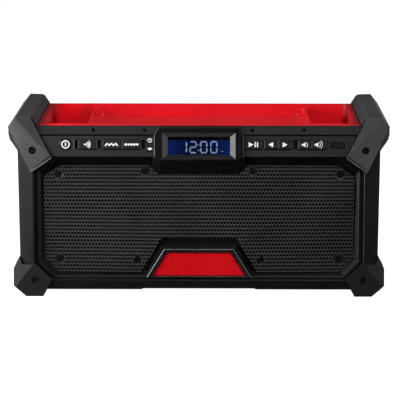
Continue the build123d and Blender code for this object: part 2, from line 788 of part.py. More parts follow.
# ------------------------------------------------------------------ carrying bars
def bar_section():
    """Section of the right-hand bar, with the bead along its inner top edge."""
    bead_x = bar_top_x[0] - bead_width
    bead_z = bar_top_z - bead_drop
    return [
        (bar_top_x[0], bar_top_z), (bar_top_x[1], bar_top_z), (bar_outer_x, bar_shoulder_z),
        (bar_outer_x, deck_z - bar_flank_drop), (bar_outer_x - bar_under_inset, shoulder_z + bar_under_rise),
        (half_width, shoulder_z), (half_width - deck_inset, deck_z), (bar_inner_x, deck_z),
        (bar_inner_x, deck_z + bar_inner_rise), (bead_x, bead_z - bead_step), (bead_x, bead_z),
    ]


def plate_groove_cutter():
    """Groove line and sloping lip across the lower end of a bar's end plate."""
    inner, outer = Vector(plate_inner_x, plate_y, plate_inner_z), Vector(plate_outer_x, plate_y, plate_outer_z)
    along = (outer - inner).normalized()
    up = Vector(-along.Z, 0, along.X)
    section = Plane(origin=inner - along * proud, x_dir=up, z_dir=along)
    depth = plate_groove_depth if section.y_dir.Y > 0 else -plate_groove_depth
    lip = depth * plate_groove_width
    groove = Polyline((-gap, -2 * depth), (-gap, lip), (0, lip), (plate_groove, depth + lip),
                      (plate_groove + plate_groove_width, -2 * depth), close=True)
    return extrude(section * make_face(groove), amount=(outer - inner).length + 2 * proud)


def make_right_handle():
    section = bar_section()
    bar = prism_y(section, plate_seat_y, 0)
    plate = prism_y(plate_outline(), plate_y, plate_seat_y)
    ridge_top = (bar_top_x[1], plate_y, bar_top_z)
    ridge_foot = (plate_inner_x, plate_y, plate_inner_z)
    outer_tip = (plate_outer_x, plate_y + plate_fall_outer, plate_outer_z)
    plate = shave(plate, ridge_top, ridge_foot, outer_tip)
    plate = shave(plate, ridge_top, ridge_foot, (bar_top_x[0], plate_y + plate_fall_inner, bar_top_z))
    plate -= plate_groove_cutter()
    half = bar + plate
    half -= rod_y(*handle_screw, handle_recess, plate_y - gap, plate_seat_y - handle_head_depth)
    half -= rod_y(*handle_screw, shank + thread_gap, plate_y, plate_seat_y + gap)
    body = fore_and_aft(half) - grip_pocket()
    # parting groove round the rear knuckle
    seam = (bar_seam_y, bar_seam_y + bar_seam)
    core = offset(face_at_y(section, bar_seam_y), -bar_seam, kind=Kind.INTERSECTION)
    groove = prism_y(section, *seam) - extrude(core, amount=-bar_seam)
    return body - (groove & block((bar_inner_x - wall, bar_outer_x + wall), seam, (bar_shoulder_z, bar_top_z + wall)))


# ------------------------------------------------------------------ feet
def make_front_right_foot():
    outline = [(half_width + x, z) for x, z in foot_points]
    foot = prism_y(outline, plate_y, plate_y + foot_length)
    foot -= cabinet_solid(front_y, 0)
    crease = [(half_width + x, plate_y, z) for x, z in foot_crease]
    widest_x, widest_z = outline[3]
    foot = shave(foot, *crease, (widest_x, plate_y + foot_fall, widest_z))
    front, tail = plate_y - foot_clear, plate_y + foot_length
    low, top = -foot_clear, max(z for x, z in outline)
    side_view = [(front, low), (tail - foot_tail / 3, low), (tail, foot_tail / 3), (tail, top / 2),
                 (tail - foot_tail, top + foot_clear), (front, top + foot_clear)]
    foot &= prism_x(side_view, 0, bar_outer_x)
    foot -= rod_y(*foot_screw, foot_recess, front, front_y - head_thick / 2)
    foot -= rod_y(*foot_screw, shank + thread_gap, plate_y, front_y + gap)
    return foot.solids().sort_by(SortBy.VOLUME)[-1]


# ------------------------------------------------------------------ control fascia and keys
def fascia_ends():
    """Outline between the two bar ends, a clearance inside their inner edges."""
    return mirrored([(plate_edge_x(z) - 2 * gap, z) for z in (fascia_base_z, fascia_top_z)])


def pod_outline(grow=0.0):
    return mirrored([
        (pod_foot_half + grow, pod_foot_z - grow), (pod_half + grow, pod_knee_z - grow),
        (pod_half + grow, pod_shoulder_z + grow), (pod_top_half + grow, pod_top_z + grow)])


def make_key(x_from, x_to):
    """Key with rounded upright corners, an eased face and retaining lips above and below."""
    low, high = key_z - key_height / 2, key_z + key_height / 2
    top = Pos((x_from + x_to) / 2, key_z) * RectangleRounded(x_to - x_from, key_height, key_corner)
    key = extrude(Plane.XZ.offset(key_proud - fascia_y) * top, amount=fascia_y - key_proud - key_back_y)
    key = chamfer(key.faces().sort_by(Axis.Y)[0].edges(), key_ease)
    return key + block((x_from, x_to), (key_back_y - key_flange_thick, key_back_y),
                       (low - key_flange, high + key_flange))


def make_round_key(x, z, radius):
    """Round key with a cross-shaped retaining lip."""
    key = rod_y(x, z, radius, fascia_y - key_proud, key_back_y)
    key = chamfer(key.faces().sort_by(Axis.Y)[0].edges(), round_key_ease)
    lip = (key_back_y - key_flange_thick, key_back_y)
    return key + block((x - radius - key_flange, x + radius + key_flange), lip, (z - radius / 3, z + radius / 3))


def make_control_fascia():
    middle_z = strip_z - groove_height
    profile = [
        (fascia_y, fascia_base_z + fascia_edge), (fascia_y, middle_z), (fascia_y + groove_depth, middle_z),
        (fascia_y + groove_depth, strip_z), (fascia_y, strip_z),
        (fascia_y + strip_lean, fascia_top_z), (fascia_seat_y, fascia_top_z),
        (fascia_seat_y, window_z[1]), (fascia_back_y, window_z[1]),
        (fascia_back_y, window_z[0]), (fascia_seat_y, window_z[0]),
        (fascia_seat_y, fascia_base_z), (fascia_y + fascia_edge, fascia_base_z),
    ]
    body = prism_x(profile, -half_width, half_width)
    body &= prism_y(fascia_ends(), pod_y, fascia_seat_y)
    body -= across(block((bar_inner_x - gap, half_width), (plate_seat_y - gap, fascia_seat_y + gap),
                         (window_z[1], bar_top_z)))
    body -= prism_y(pod_outline(gap), pod_y, fascia_seat_y + gap)
    cut = (fascia_y - key_proud, fascia_back_y + gap)
    row = (key_z - key_height / 2, key_z + key_height / 2)
    for name in rectangular_keys:
        span_x, span_z = grown((places[name], row), key_gap)
        body -= block(span_x, cut, span_z)
    body -= rod_y(power_x, key_z, power_radius + key_gap, *cut)
    for rise in small_key_rises.values():
        body -= rod_y(small_key_x, key_z + rise, small_key_radius + key_gap, *cut)
    slot = extrude(Plane.XZ.offset(-fascia_y - slot_depth) * SlotOverall(slot_height, slot_width, rotation=90),
                   amount=slot_depth + gap)
    for x in slot_xs():
        body -= Pos(x, 0, key_z) * slot
    plaque_top = key_z - plaque_drop + plaque_height / 2
    body -= block(places["plaque"], (cut[0], fascia_y + plaque_depth), (plaque_top - plaque_height, plaque_top))
    for x in strip_screw_xs:
        body -= rod_y(x, strip_screw_z, strip_head_radius + gap / 2, pod_y, fascia_seat_y - head_thick)
        body -= rod_y(x, strip_screw_z, strip_shank + thread_gap, pod_y, fascia_seat_y + gap)
    # posts that carry the key board
    for side in SIDES:
        for z in board_span_z():
            inwards = board_post if z < key_z else -board_post
            body += rod_y(side * (board_half - board_post), z + inwards, board_post,
                          fascia_back_y - gap, board_y)
    return body


def make_display_pod():
    body = prism_y(pod_outline(), pod_y, fascia_seat_y)
    body = chamfer(body.faces().sort_by(Axis.Y)[0].edges(), pod_edge)
    hood_front = mirrored([(pod_foot_half - hood_lap, pod_foot_z + hood_lap),
                           (pod_half - hood_lap, pod_knee_z + hood_lap),
                           (pod_half - hood_lap, pod_knee_z + 2 * hood_lap)])
    hood_rear = mirrored([(hood_base_half, hood_z), (hood_half, hood_knee_z),
                          (hood_half, fascia_base_z - gap)])
    rear_y = front_y + hood_back
    hood = loft([face_at_y(hood_front, pod_y + pod_edge / 2), face_at_y(hood_rear, rear_y)])
    body += hood & block((-half_width, half_width), (pod_y - gap, rear_y), (hood_z - gap, fascia_base_z - gap))
    body -= loft([face_at_y(rectangle(bezel_half, bezel_z), pod_y), face_at_y(rectangle(lens_half, lens_z), lens_y)])
    body -= block(*lens_spans(gap / 3))
    body -= prism_y(rectangle(lens_half, lens_z), lens_y - gap, lens_y + gap)
    return body - prism_y(rectangle(lens_half, lens_z, lens_lip + gap), lens_y + lens_thick, fascia_seat_y + wall)


def lens_spans(grow=0.0):
    across_x, up_z = grown(((-lens_half, lens_half), lens_z), lens_lip + grow)
    return (across_x, (lens_y, lens_y + lens_thick), up_z)


def make_lcd_module():
    y = lens_y + lens_thick
    glass = prism_y(rectangle(lens_half, lens_z, lcd_border), y, y + lcd_thick)
    plug_half = lens_half - lcd_plug_side
    return glass + block((-plug_half, plug_half), (y + lcd_thick, board_y),
                         (window_z[0] + lcd_plug_under, window_z[1] - lcd_plug_over))


def board_span_z():
    return (window_z[0] + board_margin, window_z[1] - board_margin)


def make_keypad_mat():
    spans = ((places["power_button"][0] - mat_border, -pod_half - gap), (pod_half + gap, places["plaque"][0]))
    return Part() + [block(span, (mat_y, board_y), board_span_z()) for span in spans]


def make_control_board():
    return block((-board_half, board_half), (board_y, board_y + board_thick), board_span_z())


# ------------------------------------------------------------------ speaker grille
def formed(x, z):
    """Point of the grille's leaning centre surface over an (x, z) place."""
    share = (grille_top_z - z) / (grille_top_z - badge_bay_top_z)
    return (x, seat_y - grille_rim - grille_bow * share, z)


def grille_form(inset):
    """Solid under the formed sheet, its outline drawn in by inset."""
    outline = face_at_y(grille_opening_outline(), seat_y - 2 * grille_bow)
    outline = offset(outline, -gap - inset, kind=Kind.INTERSECTION)
    form = extrude(outline, amount=-2 * grille_bow)
    low_z = grille_base_z - wall
    bay = [(badge_bay_half[1] + inset, low_z), (badge_bay_half[0] + inset, badge_bay_top_z + inset)]
    form -= prism_y(mirrored(bay), front_y - wall, seat_y + gap)
    grow = inset + hood_clearance
    hood = mirrored([(hood_base_half + grow, hood_z - grow), (hood_half + grow, hood_knee_z - grow),
                     (hood_half + grow, grille_top_z + wall)])
    form -= prism_y(hood, front_y - wall, seat_y + gap)
    top = formed(0, grille_top_z)
    outer = formed(grille_x - crease_outer[0], grille_top_z - crease_outer[1])
    bend = formed(grille_x - crease_bend[0], grille_top_z - crease_bend[1])
    inner = formed(crease_inner_half, badge_bay_top_z)
    form = shave(form, top, outer, inner)
    low_outer = (grille_x - slope_corner, seat_y - grille_rim, grille_base_z)
    low_inner = (badge_bay_half[1], seat_y - grille_rim, grille_base_z)
    cutter = block((0, half_width), (front_y - wall, seat_y), (base_z, grille_top_z))
    cutter = split(cutter, bisect_by=plane_through(outer, bend, low_outer), keep=Keep.TOP)
    cutter = split(cutter, bisect_by=plane_through(bend, inner, low_inner), keep=Keep.TOP)
    return form - across(cutter)


def make_speaker_grille():
    form = grille_form(0.0)
    body = form - Pos(0, sheet, 0) * grille_form(sheet)
    for x, z in grille_screws:
        body += rod_y(x, z, cup_radius + sheet, seat_y - 2 * grille_bow + gap, seat_y) & form
        body -= rod_y(x, z, cup_radius, front_y - wall, seat_y - cup_depth)
        body -= rod_y(x, z, shank + thread_gap, front_y, seat_y + gap)
    return body


def make_badge_frame():
    y = seat_y - badge_plinth
    outer = prism_y(trapezoid(badge_frame_half, badge_frame_z), y - badge_frame_height, y)
    outer = chamfer(outer.faces().sort_by(Axis.Y)[0].edges(), badge_frame_edge)
    return outer - prism_y(trapezoid(badge_plate_half, badge_plate_z, gap / 2), y - 2 * badge_frame_height, y + gap)


def make_badge_plate():
    y = seat_y - badge_plinth
    return prism_y(trapezoid(badge_plate_half, badge_plate_z, -gap / 2), y - badge_plate_height, y)


# ------------------------------------------------------------------ speakers
def turned(points, side):
    """Revolve a closed (radius, y) outline about a speaker's axis."""
    return Pos(side * speaker_x, 0, speaker_z) * revolve(make_face(Polyline(*points, close=True)), Axis.Y)


def make_speaker(side):
    y = speaker_front_y
    gasket = [(speaker_opening, y), (speaker_radius, y), (speaker_radius, y - gasket_thick),
              (speaker_opening, y - gasket_thick)]
    rear = y + basket_depth
    basket = [(basket_inner, y), (speaker_radius, y), (speaker_radius, y + basket_flange),
              (basket_inner + 2 * basket_wall, y + basket_flange), (basket_neck + basket_wall, rear),
              (0, rear), (0, rear - basket_wall), (basket_neck, rear - basket_wall),
              (basket_inner, y + basket_flange)]
    voice = y + cone_depth
    cone = [(cone_radius, y), (cone_radius, y + cone_wall), (cone_neck + cone_wall, voice),
            (cone_neck, voice), (cone_neck, voice - cone_wall), (cone_radius - cone_wall, y)]
    middle = cone_radius + roll_radius - cone_wall
    arch = roll_radius - roll_thick
    roll = [(middle - roll_radius, y), (middle - roll_radius / 2, y - roll_radius),
            (middle + roll_radius / 2, y - roll_radius), (middle + roll_radius, y), (middle + arch, y),
            (middle + arch / 2, y - arch), (middle - arch / 2, y - arch), (middle - arch, y)]
    crown = voice - cone_wall
    dome = [(0, crown), (0, crown - dome_height), (cone_neck / 2, crown - 0.8 * dome_height), (cone_neck, crown)]
    magnet = rod_y(side * speaker_x, speaker_z, magnet_radius, rear, rear + magnet_thick)
    return {"gasket": turned(gasket, side), "basket": turned(basket, side), "cone": turned(cone, side),
            "surround": turned(roll, side), "dust_cap": turned(dome, side), "magnet": magnet}


# ------------------------------------------------------------------ battery bay
def bay_pocket(y_from):
    """Room for the battery pack, from a depth out through the back."""
    pocket = Box(bay_width, back_y + wall - y_from, bay_height)
    pocket = fillet(pocket.edges().filter_by(Axis.Y), bay_corner)
    return Pos(bay_middle_x, (y_from + back_y + wall) / 2, sum(bay_z) / 2) * pocket


def board_post_places():
    return [(x, z) for x in (bay_x[0] + post_inset, bay_x[1] - post_inset)
            for z in (main_board_z[0] + post_inset, main_board_z[1] - post_inset)]


def make_battery_bay():
    """Open box behind the back wall, with the posts that carry the main board."""
    span_x, span_z = grown((bay_x, bay_z), wall)
    body = block(span_x, (bay_floor_y - wall, liner_face_y), span_z)
    flange_x, flange_z = grown((span_x, span_z), bay_flange)
    body += block(flange_x, (liner_face_y - liner_wall, liner_face_y), flange_z)
    body -= bay_pocket(bay_floor_y)
    for x, z in board_post_places():
        body += rod_y(x, z, 2 * shank, main_board_y + board_thick, bay_floor_y - gap)
    return body


def blade_xs():
    first = bay_middle_x - blade_pitch * (blade_count - 1) / 2
    return [first + blade_pitch * i for i in range(blade_count)]


def make_battery_dock():
    """Slide rails and terminal housing on the floor of the battery bay."""
    half = rail_gap / 2 + rail_thick
    face = bay_floor_y + dock_thick
    rails = (dock_top_z - rail_length, dock_top_z)
    body = block((bay_middle_x - half - dock_side, bay_middle_x + half + dock_side), (bay_floor_y, face),
                 (rails[0] - dock_tail, dock_top_z))
    for side in SIDES:
        web = sorted((bay_middle_x + side * half, bay_middle_x + side * (half - rail_thick)))
        body += block(web, (bay_floor_y, face + rail_height), rails)
        lip = sorted((bay_middle_x + side * half, bay_middle_x + side * (half - rail_thick - rail_lip)))
        body += block(lip, (face + rail_height - rail_thick, face + rail_height), rails)
    half = terminal_width / 2
    body += block((bay_middle_x - half, bay_middle_x + half), (bay_floor_y, face + terminal_depth),
                  (dock_top_z - terminal_height, dock_top_z))
    for x in blade_xs():
        body -= block((x - blade_thick - gap, x + blade_thick + gap), (face, face + blade_depth),
                      (dock_top_z - terminal_height - gap, dock_top_z - blade_drop))
    return body


def make_battery_contacts():
    face, top = bay_floor_y + dock_thick, dock_top_z - blade_drop
    return Part() + [block((x - blade_thick / 2, x + blade_thick / 2), (face, face + blade_depth - blade_set),
                           (top - blade_length, top)) for x in blade_xs()]


# ------------------------------------------------------------------ socket compartment
def make_aux_compartment():
    span_x = (door_x[0] + liner_hinge_lip, door_x[1] - liner_lip)
    span_z = (door_z[0] + liner_lip, door_z[1] - liner_lip)
    flange_x, flange_z = grown((door_x, door_z), liner_flange)
    body = block(flange_x, (liner_face_y - liner_wall, liner_face_y), flange_z)
    body -= rod_z(*hinge_axis, hinge_barrel + gap, door_z[0] - pin_bite, door_z[1] + pin_bite)
    body += block(span_x, (liner_floor_y, liner_face_y - liner_wall), span_z)
    inner_x, inner_z = grown((span_x, span_z), -liner_wall)
    body -= block(inner_x, (socket_y, back_y), inner_z)
    floor = (liner_floor_y - gap, socket_y + gap)
    body -= rod_y(jack_x, socket_z, jack_radius + gap / 3, *floor)
    return body - block(*grown((usb_span(usb_size)[0],), gap / 3), floor, *grown((usb_span(usb_size)[1],), gap / 3))


def usb_span(size):
    """(x, z) spans of a size centred on the USB port."""
    return grown(((usb_x, usb_x),), size[0] / 2) + grown(((socket_z, socket_z),), size[1] / 2)


def make_aux_door():
    leaf = block((hinge_axis[0], door_x[1]), (back_y - door_thick, back_y), door_z)
    leaf = fillet(leaf.edges().filter_by(Axis.Y).group_by(Axis.X)[-1], door_corner)
    leaf += rod_z(*hinge_axis, hinge_barrel, *door_z)
    leaf -= rod_z(*hinge_axis, hinge_pin + pin_clearance, door_z[0] - gap, door_z[1] + gap)
    return leaf - rod_y(door_x[1] + thumb_notch_out, socket_z, thumb_notch, back_y - thumb_notch_depth, back_y + gap)


def make_door_hinge_pin():
    return rod_z(*hinge_axis, hinge_pin, door_z[0] - pin_bite + gap, door_z[1] + pin_bite - gap)


def make_aux_jack():
    rear = socket_y - jack_length + jack_rim
    body = rod_y(jack_x, socket_z, jack_radius, rear, socket_y + jack_rim)
    body += rod_y(jack_x, socket_z, jack_radius + jack_rim, socket_y, socket_y + jack_rim)
    return body - rod_y(jack_x, socket_z, jack_bore, rear + jack_rim, socket_y + socket_floor)


def make_usb_port():
    rear = socket_y - usb_length + usb_rim
    shell_x, shell_z = usb_span(usb_size)
    rim_x, rim_z = grown((shell_x, shell_z), usb_rim)
    mouth_x, mouth_z = usb_span(usb_mouth)
    body = block(shell_x, (rear, socket_y + usb_rim), shell_z)
    body += block(rim_x, (socket_y, socket_y + usb_rim), rim_z)
    body -= block(mouth_x, (rear + 2 * usb_rim, socket_y + socket_floor), mouth_z)
    tongue = block((mouth_x[0] + usb_rim, mouth_x[1] - usb_rim), (rear + 2 * usb_rim, socket_y - usb_rim / 2),
                   (socket_z + usb_tongue, mouth_z[1] - usb_tongue))
    return body + tongue


def make_dc_inlet():
    rear = back_y - inlet_length
    body = rod_y(inlet_x, inlet_z, inlet_radius, rear, back_y)
    body += rod_y(inlet_x, inlet_z, inlet_radius + inlet_rim, back_y, back_y + inlet_rim_thick)
    body -= rod_y(inlet_x, inlet_z, inlet_bore, rear + socket_floor, back_y + wall)
    return body + rod_y(inlet_x, inlet_z, inlet_pin, rear + inlet_rim, back_y - inlet_pin_set)


# ------------------------------------------------------------------ main board
def make_main_board():
    return block(main_board_x, (main_board_y, main_board_y + board_thick), main_board_z)


def make_heat_sink():
    width = fin_pitch * (fin_count - 1) + fin_thick
    left = main_board_x[1] - width - sink_side
    low = (sum(main_board_z) - sink_height) / 2
    base_y = main_board_y - sink_base
    body = block((left, left + width), (base_y, main_board_y), (low, low + sink_height))
    for i in range(fin_count):
        x = left + i * fin_pitch
        body += block((x, x + fin_thick), (base_y - fin_height, base_y), (low, low + sink_height))
    return body


def make_ferrite_antenna():
    x = main_board_x[0] + ferrite_length / 2 + ferrite_side
    y = main_board_y - ferrite_radius - ferrite_stand
    z = main_board_z[1] - ferrite_radius - ferrite_drop
    body = Pos(x, y, z) * Rot(0, 90, 0) * Cylinder(ferrite_radius, ferrite_length)
    for side in SIDES:
        middle = x + side * ferrite_length / 3
        body += block((middle - ferrite_clip / 2, middle + ferrite_clip / 2), (y, main_board_y),
                      (z - ferrite_radius, z + ferrite_radius))
    return body


# ------------------------------------------------------------------ screws
def screw(x, z, seat, head_radius, shank_radius, length, head=head_thick, sign=1):
    """Pan-head screw: head outside its seat, shank running inwards (sign 1 from the front)."""
    outer, inner = seat - sign * head, seat + sign * length
    return (rod_y(x, z, head_radius, min(seat, outer), max(seat, outer))
            + rod_y(x, z, shank_radius, min(seat, inner), max(seat, inner)))


def make_grille_screws():
    seat = seat_y - cup_depth
    length = cup_depth + baffle + screw_boss_length - gap
    return [screw(x, z, seat, cup_radius - cup_room, shank, length) for x, z in grille_screws]


def make_handle_screws():
    seat = plate_seat_y - handle_head_depth
    return [screw(side * handle_screw[0], handle_screw[1], sign * seat, handle_head_radius, shank,
                  screw_bite, sign=sign)
            for side in SIDES for sign in (1, -1)]


def make_foot_screws():
    seat = front_y - head_thick / 2
    return [screw(side * foot_screw[0], foot_screw[1], sign * seat, foot_head_radius, shank,
                  screw_bite, head=low_head_thick, sign=sign)
            for side in SIDES for sign in (1, -1)]


def make_strip_screws():
    seat = fascia_seat_y - head_thick
    return [screw(x, strip_screw_z, seat, strip_head_radius, strip_shank, head_thick + wall,
                  head=low_head_thick) for x in strip_screw_xs]


def make_shell_screws():
    seat = back_y - shell_head_depth
    return [screw(x, z, seat, shell_head_radius, shell_screw_radius, seat - split_y + screw_bite, sign=-1)
            for x, z in shell_screws]


# ------------------------------------------------------------------ write the parts
single_parts = {
    "front_cabinet": make_front_cabinet(),
    "rear_cabinet": make_rear_cabinet(),
    "battery_bay": make_battery_bay(),
    "tray": make_tray(),
    "control_fascia": make_control_fascia(),
    "display_pod": make_display_pod(),
    "display_lens": block(*lens_spans()),
    "lcd_module": make_lcd_module(),
    "keypad_mat": make_keypad_mat(),
    "control_board": make_control_board(),
    "speaker_grille": make_speaker_grille(),
    "badge_frame": make_badge_frame(),
    "badge_plate": make_badge_plate(),
    "battery_dock": make_battery_dock(),
    "battery_contacts": make_battery_contacts(),
    "aux_compartment": make_aux_compartment(),
    "aux_door": make_aux_door(),
    "door_hinge_pin": make_door_hinge_pin(),
    "aux_jack": make_aux_jack(),
    "usb_port": make_usb_port(),
    "dc_inlet": make_dc_inlet(),
    "main_board": make_main_board(),
    "heat_sink": make_heat_sink(),
    "ferrite_antenna": make_ferrite_antenna(),
    "power_button": make_round_key(power_x, key_z, power_radius),
}
for name, shape in single_parts.items():
    save(name, shape)

for name in rectangular_keys:
    save(name, make_key(*places[name]))
for name, rise in small_key_rises.items():
    save(name, make_round_key(small_key_x, key_z + rise, small_key_radius))

for piece, shape in (("handle", make_right_handle()), ("grip_cup", make_right_grip_cup())):
    save(f"right_{piece}", shape)
    save(f"left_{piece}", mirror(shape, about=Plane.YZ))

front_right_foot = make_front_right_foot()
front_left_foot = mirror(front_right_foot, about=Plane.YZ)
save("front_right_foot", front_right_foot)
save("front_left_foot", front_left_foot)
save("rear_right_foot", mirror(front_right_foot, about=Plane.XZ))
save("rear_left_foot", mirror(front_left_foot, about=Plane.XZ))

for side, side_name in ((-1, "left"), (1, "right")):
    for piece, shape in make_speaker(side).items():
        save(f"{side_name}_speaker_{piece}", shape)

screw_sets = {
    "grille_screws": make_grille_screws(),
    "handle_screws": make_handle_screws(),
    "foot_screws": make_foot_screws(),
    "strip_screws": make_strip_screws(),
    "shell_screws": make_shell_screws(),
}
for name, screws in screw_sets.items():
    save(name, Part() + screws)
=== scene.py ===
import bmesh
import bpy
import math
from mathutils import Matrix, Vector


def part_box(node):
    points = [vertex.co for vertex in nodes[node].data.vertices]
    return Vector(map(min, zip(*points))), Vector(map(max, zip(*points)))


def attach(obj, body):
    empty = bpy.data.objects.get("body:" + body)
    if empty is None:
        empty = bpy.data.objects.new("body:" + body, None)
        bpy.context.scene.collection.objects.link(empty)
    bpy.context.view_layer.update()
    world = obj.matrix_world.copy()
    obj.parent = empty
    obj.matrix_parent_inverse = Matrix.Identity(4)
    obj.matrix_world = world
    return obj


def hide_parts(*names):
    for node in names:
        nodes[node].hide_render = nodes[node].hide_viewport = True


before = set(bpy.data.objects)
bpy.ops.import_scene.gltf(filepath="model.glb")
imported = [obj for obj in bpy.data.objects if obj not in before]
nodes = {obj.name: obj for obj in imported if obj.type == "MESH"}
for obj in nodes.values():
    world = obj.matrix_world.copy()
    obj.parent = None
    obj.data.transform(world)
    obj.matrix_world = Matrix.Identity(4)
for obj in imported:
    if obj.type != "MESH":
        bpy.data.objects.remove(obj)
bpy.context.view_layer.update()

mm = 0.001

# ---- Front and rear cabinet ------------------------------------------------------------------
# Two halves of black ABS, injection moulded and held together by long screws from the back. The
# skin is spark eroded, dull in the flats and rubbed shinier on the edges, coarser and paler on the
# rear half. The cups and bays let into the halves are plain dull mouldings.


def new_finish(name, settings):
    """A finish with its constants set on the shader's own sockets, then its tree and its shader."""
    finish = bpy.data.materials.new(name)
    finish.use_nodes = True
    tree = finish.node_tree
    shader = tree.nodes["Principled BSDF"]
    for socket, value in settings.items():
        shader.inputs[socket].default_value = (*value, 1.0) if isinstance(value, tuple) else value
    return finish, tree, shader


def noise(tree, per_metre, detail=2.0):
    """Soft blotches, so many per metre, from 0 to 1."""
    place = tree.nodes.new("ShaderNodeTexCoord")
    node = tree.nodes.new("ShaderNodeTexNoise")
    node.inputs["Scale"].default_value = per_metre
    node.inputs["Detail"].default_value = detail
    tree.links.new(place.outputs["Object"], node.inputs["Vector"])
    return node.outputs["Fac"]


def ranged(tree, value, source=(0.0, 1.0), target=(0.0, 1.0)):
    """The value, stretched from the source's range to the target's and held inside it."""
    node = tree.nodes.new("ShaderNodeMapRange")
    for socket, number in zip(("From Min", "From Max", "To Min", "To Max"), (*source, *target)):
        node.inputs[socket].default_value = number
    tree.links.new(value, node.inputs["Value"])
    return node.outputs["Result"]


def mixed(tree, share, first, second, blend="MIX"):
    """Two colours mixed by a share; each is three numbers or a node's output."""
    node = tree.nodes.new("ShaderNodeMix")
    node.data_type = "RGBA"
    node.blend_type = blend
    tree.links.new(share, node.inputs["Factor"])
    for socket, colour in (("A", first), ("B", second)):
        if isinstance(colour, tuple):
            node.inputs[socket].default_value = (*colour, 1.0)
        else:
            tree.links.new(colour, node.inputs[socket])
    return node.outputs["Result"]


def maths(tree, operation, first, second=0.0):
    """One sum on two values; each is a number or a node's output."""
    node = tree.nodes.new("ShaderNodeMath")
    node.operation = operation
    for socket, value in enumerate((first, second)):
        if isinstance(value, float):
            node.inputs[socket].default_value = value
        else:
            tree.links.new(value, node.inputs[socket])
    return node.outputs["Value"]


def bumped(tree, shader, height, strength, distance):
    """The surface rises with the height, by up to so many metres."""
    node = tree.nodes.new("ShaderNodeBump")
    node.inputs["Strength"].default_value = strength
    node.inputs["Distance"].default_value = distance
    tree.links.new(height, node.inputs["Height"])
    tree.links.new(node.outputs["Normal"], shader.inputs["Normal"])


def moulded_plastic(name, dark, light, rough, grain, relief, wear_and_sheen, edge=0.7, coat=0.0, gloss=0.5,
                    painted_shade=2.2):
    """A grained plastic that varies from dark to light. The grain is in grains per metre, relief in
    metres; edges so many mm wide turn paler by a share, as wear which on the carrying bars also
    stands as painted highlight lines; gaps of so many mm are darkened with painted shade."""
    finish, tree, shader = new_finish(name, {
        "Coat Weight": coat, "Specular IOR Level": gloss, "Coat Roughness": 0.15})
    cloudy = ranged(tree, noise(tree, per_metre=14.0, detail=3.0), source=(0.35, 0.65))
    flow = mixed(tree, cloudy, dark, light)

    # an edge is where a rounded normal turns away from the true one
    rounded = tree.nodes.new("ShaderNodeBevel")
    rounded.samples = 4
    rounded.inputs["Radius"].default_value = edge * mm
    true_normal = tree.nodes.new("ShaderNodeNewGeometry")
    turned = tree.nodes.new("ShaderNodeVectorMath")
    turned.operation = "DOT_PRODUCT"
    tree.links.new(rounded.outputs["Normal"], turned.inputs[0])
    tree.links.new(true_normal.outputs["Normal"], turned.inputs[1])
    edges = ranged(tree, turned.outputs["Value"], source=(0.995, 0.90))
    patchy = ranged(tree, noise(tree, per_metre=60.0, detail=4.0), (0.42, 0.7), (0.0, wear_and_sheen))
    wear_and_sheen_mask = maths(tree, "MULTIPLY", edges, patchy)
    # edges turn paler as wear; with a large share, as on the carrying bars, the pale edges also
    # stand as painted highlight lines
    pale_wear_and_sheen = tuple(min(1.0, c * 2.6 + 0.03) for c in light)
    colour = mixed(tree, wear_and_sheen_mask, flow, pale_wear_and_sheen)

    # painted shade: hollows and gaps narrower than so many mm are darkened where shade falls
    if painted_shade:
        hollow = tree.nodes.new("ShaderNodeAmbientOcclusion")
        hollow.samples = 6
        hollow.inputs["Distance"].default_value = painted_shade * mm
        open_share = maths(tree, "POWER", hollow.outputs["AO"], 1.8)
        colour = mixed(tree, open_share, tuple(0.12 * c for c in dark), colour)
    tree.links.new(colour, shader.inputs["Base Color"])

    dull = ranged(tree, noise(tree, per_metre=190.0, detail=5.0), (0.3, 0.7),
                  (rough - 0.06, rough + 0.06))
    polish = maths(tree, "MULTIPLY", wear_and_sheen_mask, 0.15)
    tree.links.new(maths(tree, "SUBTRACT", dull, polish), shader.inputs["Roughness"])
    bumped(tree, shader, noise(tree, per_metre=grain), 1.0, relief)
    return finish


def crisp(shape, angle):
    """Edges sharper than so many degrees stay sharp in the shading."""
    for edge in shape.edges:
        edge.smooth = edge.calc_face_angle(0.0) < math.radians(angle)


def finished(shape, name, finish, body, stands_for=()):
    """Puts a bmesh into the scene as a piece that rides on a body. Its wide faces stay flat."""
    mesh = bpy.data.meshes.new(name)
    for face in shape.faces:
        face.smooth = True
    shape.to_mesh(mesh)
    shape.free()
    mesh.materials.append(finish)
    piece = bpy.data.objects.new(name, mesh)
    bpy.context.collection.objects.link(piece)
    flat_faces = piece.modifiers.new("flat_faces", "WEIGHTED_NORMAL")
    flat_faces.mode = "FACE_AREA"
    flat_faces.weight = 100
    flat_faces.keep_sharp = True
    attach(piece, body)
    if stands_for:
        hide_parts(*stands_for)
    return piece


